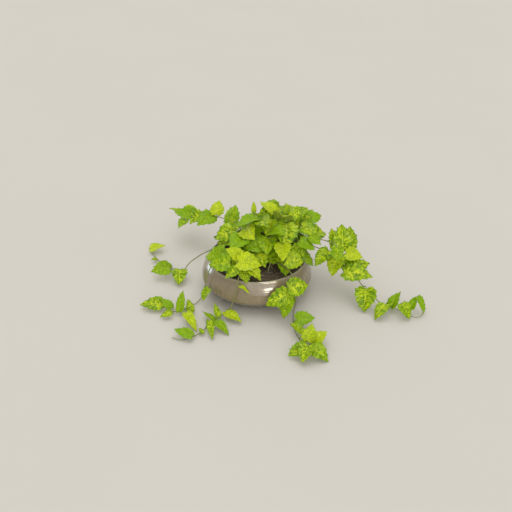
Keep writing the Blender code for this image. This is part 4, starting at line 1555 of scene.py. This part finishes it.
@dataclass
class Foliage:
    """Dresses each planned growth with fine blades and strands."""

    mould: BladeMould
    maker: StrandMaker
    blade_finish: bpy.types.Material
    strand_finish: bpy.types.Material
    petiole_steps: int = 10
    petiole_radius: float = 0.85
    sheath: float = 0.45
    neck: float = 0.3
    midrib_radii: Pair = (0.75, 0.12)
    midrib_reach: float = 0.93
    midrib_steps: int = 9
    node_swelling: float = 0.35
    node_length: float = 2.2
    root_lengths: Pair = (2.0, 5.0)
    root_radii: tuple[float, ...] = (0.6, 0.55, 0.4, 0.15)
    root_shares: tuple[float, ...] = (0.0, 0.4, 0.75, 1.0)
    root_spread: float = 0.5
    root_sag: float = 0.2
    root_odds: float = 0.5
    lowest_root: float = 20.0
    sheath_end: float = 0.25
    neck_span: Pair = (0.8, 0.97)
    open_span: Pair = (0.45, 1.0)
    seed: int = 8

    def __post_init__(self) -> None:
        """Open the draws."""
        self.dice = random.Random(self.seed)

    def petiole(self, blade: Blade) -> Strand:
        """Petiole with a clasping foot and a thick neck, running on as the midrib below.

        Args:
            blade: The blade that it carries.

        Returns:
            The strand.
        """
        points = blade.petiole(self.petiole_steps)
        radii = []
        for step in range(len(points)):
            share = step / self.petiole_steps
            swell = self.sheath * (1.0 - smoothstep(0.0, self.sheath_end, share))
            swell += self.neck * smoothstep(*self.neck_span, share)
            radii.append(self.petiole_radius + swell)
        for step in range(1, self.midrib_steps + 1):
            share = step / self.midrib_steps
            radius = self.midrib_radii[0] + (self.midrib_radii[1] - self.midrib_radii[0]) * share
            depth = (0.3 + 0.45 * radius) / blade.length
            points.append(blade.spot(self.midrib_reach * share, 0.0, -depth))
            radii.append(radius)
        return Strand(points, radii, Tissue.PETIOLE)

    def stem(self, growth: Growth) -> Strand:
        """Stem that swells at each node.

        Args:
            growth: The growth it carries.

        Returns:
            The strand.
        """
        fine = Route(smooth_route(growth.route.points, 3))
        radii = []
        for point, share in zip(fine.points, fine.shares()):
            radius = growth.route.root_radius
            radius += (growth.route.tip_radius - radius) * share
            near = min(((point - blade.root).length for blade in growth.blades), default=1e9)
            radii.append(radius * (1.0 + self.node_swelling
                                   * math.exp(-(near / self.node_length) ** 2)))
        return Strand(fine.points, radii, Tissue.VINE)

    def openness(self, blade: Blade) -> float:
        """How far a blade stands out of the crown, from 0 inside it to 1, which sets its painted
        shade.
        """
        away = blade.spot(0.5, 0.0) - Vector(PlantPlan.dome_centre)
        reach = Vector([step / radius for step, radius in zip(away, PlantPlan.dome_radii)])
        return smoothstep(*self.open_span, reach.length)

    def aerial_root(self, blade: Blade) -> Strand:
        """Short brown root under a node.

        Args:
            blade: The blade that grows from the node.

        Returns:
            The strand.
        """
        length = self.dice.uniform(*self.root_lengths)
        away = (blade.root - blade.base).normalized()
        away = (away + self.root_spread * dice_axis(self.dice)).normalized()
        points = [blade.root + away * (length * share) for share in self.root_shares]
        points[-1].z -= self.root_sag * length
        return Strand(points, list(self.root_radii), Tissue.AERIAL_ROOT)

    def dress(self, growth: Growth) -> None:
        """Make the leaf piece and the stem piece of a growth.

        Args:
            growth: The planned growth.
        """
        bm = bmesh.new()
        for blade in growth.blades:
            # Blades deep in the crown get a low value, so their colour takes painted shade.
            self.mould.lay(bm, blade, self.dice.random() * self.openness(blade))
        add_piece(f"{growth.name}_leaves", in_metres(bm), self.blade_finish,
                  growth.name)
        strands = [self.stem(growth)] + [self.petiole(blade) for blade in growth.blades]
        strands += [self.aerial_root(blade) for blade in growth.blades
                    if blade.root.z > self.lowest_root and self.dice.random() < self.root_odds]
        add_piece(f"{growth.name}_stem", self.maker.merged(strands), self.strand_finish,
                  growth.name)


@dataclass
class Studio:
    """Pale table, soft light from above and the camera. Sizes in millimetres."""

    table_reach: float = 8000.0
    sun_distance: float = 2500.0
    sky: Colour = (1.0, 0.995, 0.985)
    sky_strength: float = 0.60
    suns: tuple[tuple[str, Knot, float, float], ...] = (
        ("ceiling", (0.06, 0.05, -1.0), 0.65, 50.0), ("front", (-0.1, 0.86, -0.5), 1.03, 60.0),
        ("back", (0.1, -0.7, -0.7), 0.6, 70.0))
    lamps: tuple[tuple[str, Knot, Foot, float, Colour], ...] = (
        ("lamp", (746.0, -1379.0, 461.0), (800.0, 300.0), 16.0, (1.0, 0.88, 0.72)),
        ("window", (-1500.0, 900.0, 260.0), (700.0, 900.0), 11.0, (0.75, 0.92, 1.0)),
        ("skylight", (250.0, -250.0, 1900.0), (350.0, 350.0), 15.0, (1.0, 1.0, 0.96)))

    def table(self) -> None:
        """The table top."""
        bm = bmesh.new()
        bmesh.ops.create_grid(bm, x_segments=1, y_segments=1, size=self.table_reach * MM)
        mesh = meshed("table", bm)
        mesh.materials.append(TableFinish().material())
        linked("table", mesh)

    def lamp(self, name: str, place: Knot, size: Foot, watts: float, colour: Colour) -> None:
        """A soft light turned to the bowl, seen only as a highlight.

        Args:
            name: Its name.
            place: Where it hangs, in millimetres.
            size: Its width and height.
            watts: Its power.
            colour: Its colour.
        """
        light = bpy.data.lights.new(name, "AREA")
        light.shape, light.energy, light.color = "RECTANGLE", watts, colour
        light.size, light.size_y = size[0] * MM, size[1] * MM
        held = self.hang(name, light, Vector(place), Vector(VIEW.aim) - Vector(place))
        held.visible_diffuse = held.visible_camera = False

    def hang(self, name: str, data: bpy.types.ID, place: Vector, way: Vector) -> bpy.types.Object:
        """Place a light or the camera.

        Args:
            name: Its name.
            data: The light or the camera.
            place: Where it is, in millimetres.
            way: The way that it points.

        Returns:
            Its object.
        """
        held = linked(name, data)
        held.matrix_world = (Matrix.Translation(place * MM)
                             @ way.to_track_quat("-Z", "Y").to_matrix().to_4x4())
        return held

    def light(self) -> None:
        """Wide lights, lamps that only show as highlights, and pale surroundings."""
        for name, way, power, spread in self.suns:
            sun = bpy.data.lights.new(name, "SUN")
            sun.energy, sun.angle = power, math.radians(spread)
            self.hang(name, sun, Vector(way) * -self.sun_distance, Vector(way))
        for lamp in self.lamps:
            self.lamp(*lamp)
        world = bpy.data.worlds.new("surroundings")
        world.use_nodes = True
        background = world.node_tree.nodes["Background"]
        background.inputs["Color"].default_value = (*self.sky, 1.0)
        background.inputs["Strength"].default_value = self.sky_strength
        bpy.context.scene.world = world
        bpy.context.scene.view_settings.view_transform = "Standard"

    def camera(self) -> None:
        """The camera at the photograph's angle."""
        made = bpy.data.cameras.new("camera")
        made.lens, made.sensor_width = VIEW.lens, VIEW.sensor
        back = direction(-90.0, VIEW.elevation)
        place = Vector(VIEW.aim) + back * VIEW.distance
        bpy.context.scene.camera = self.hang("camera", made, place, -back)


def main() -> None:
    """Build every piece in order."""
    logging.basicConfig(level=logging.INFO, format="%(message)s")
    bowl = Bowl()
    bowl.build(GlazeFinish())
    Soil(bowl).build()
    foliage = Foliage(BladeMould(), StrandMaker(), BladeFinish().material(),
                      StrandFinish().material())
    growths = PlantPlan().grow()
    LOG.info("%d growths with %d blades", len(growths), sum(len(g.blades) for g in growths))
    for growth in growths:
        foliage.dress(growth)
    studio = Studio()
    studio.table()
    studio.light()
    studio.camera()


if __name__ == "__main__":
    main()
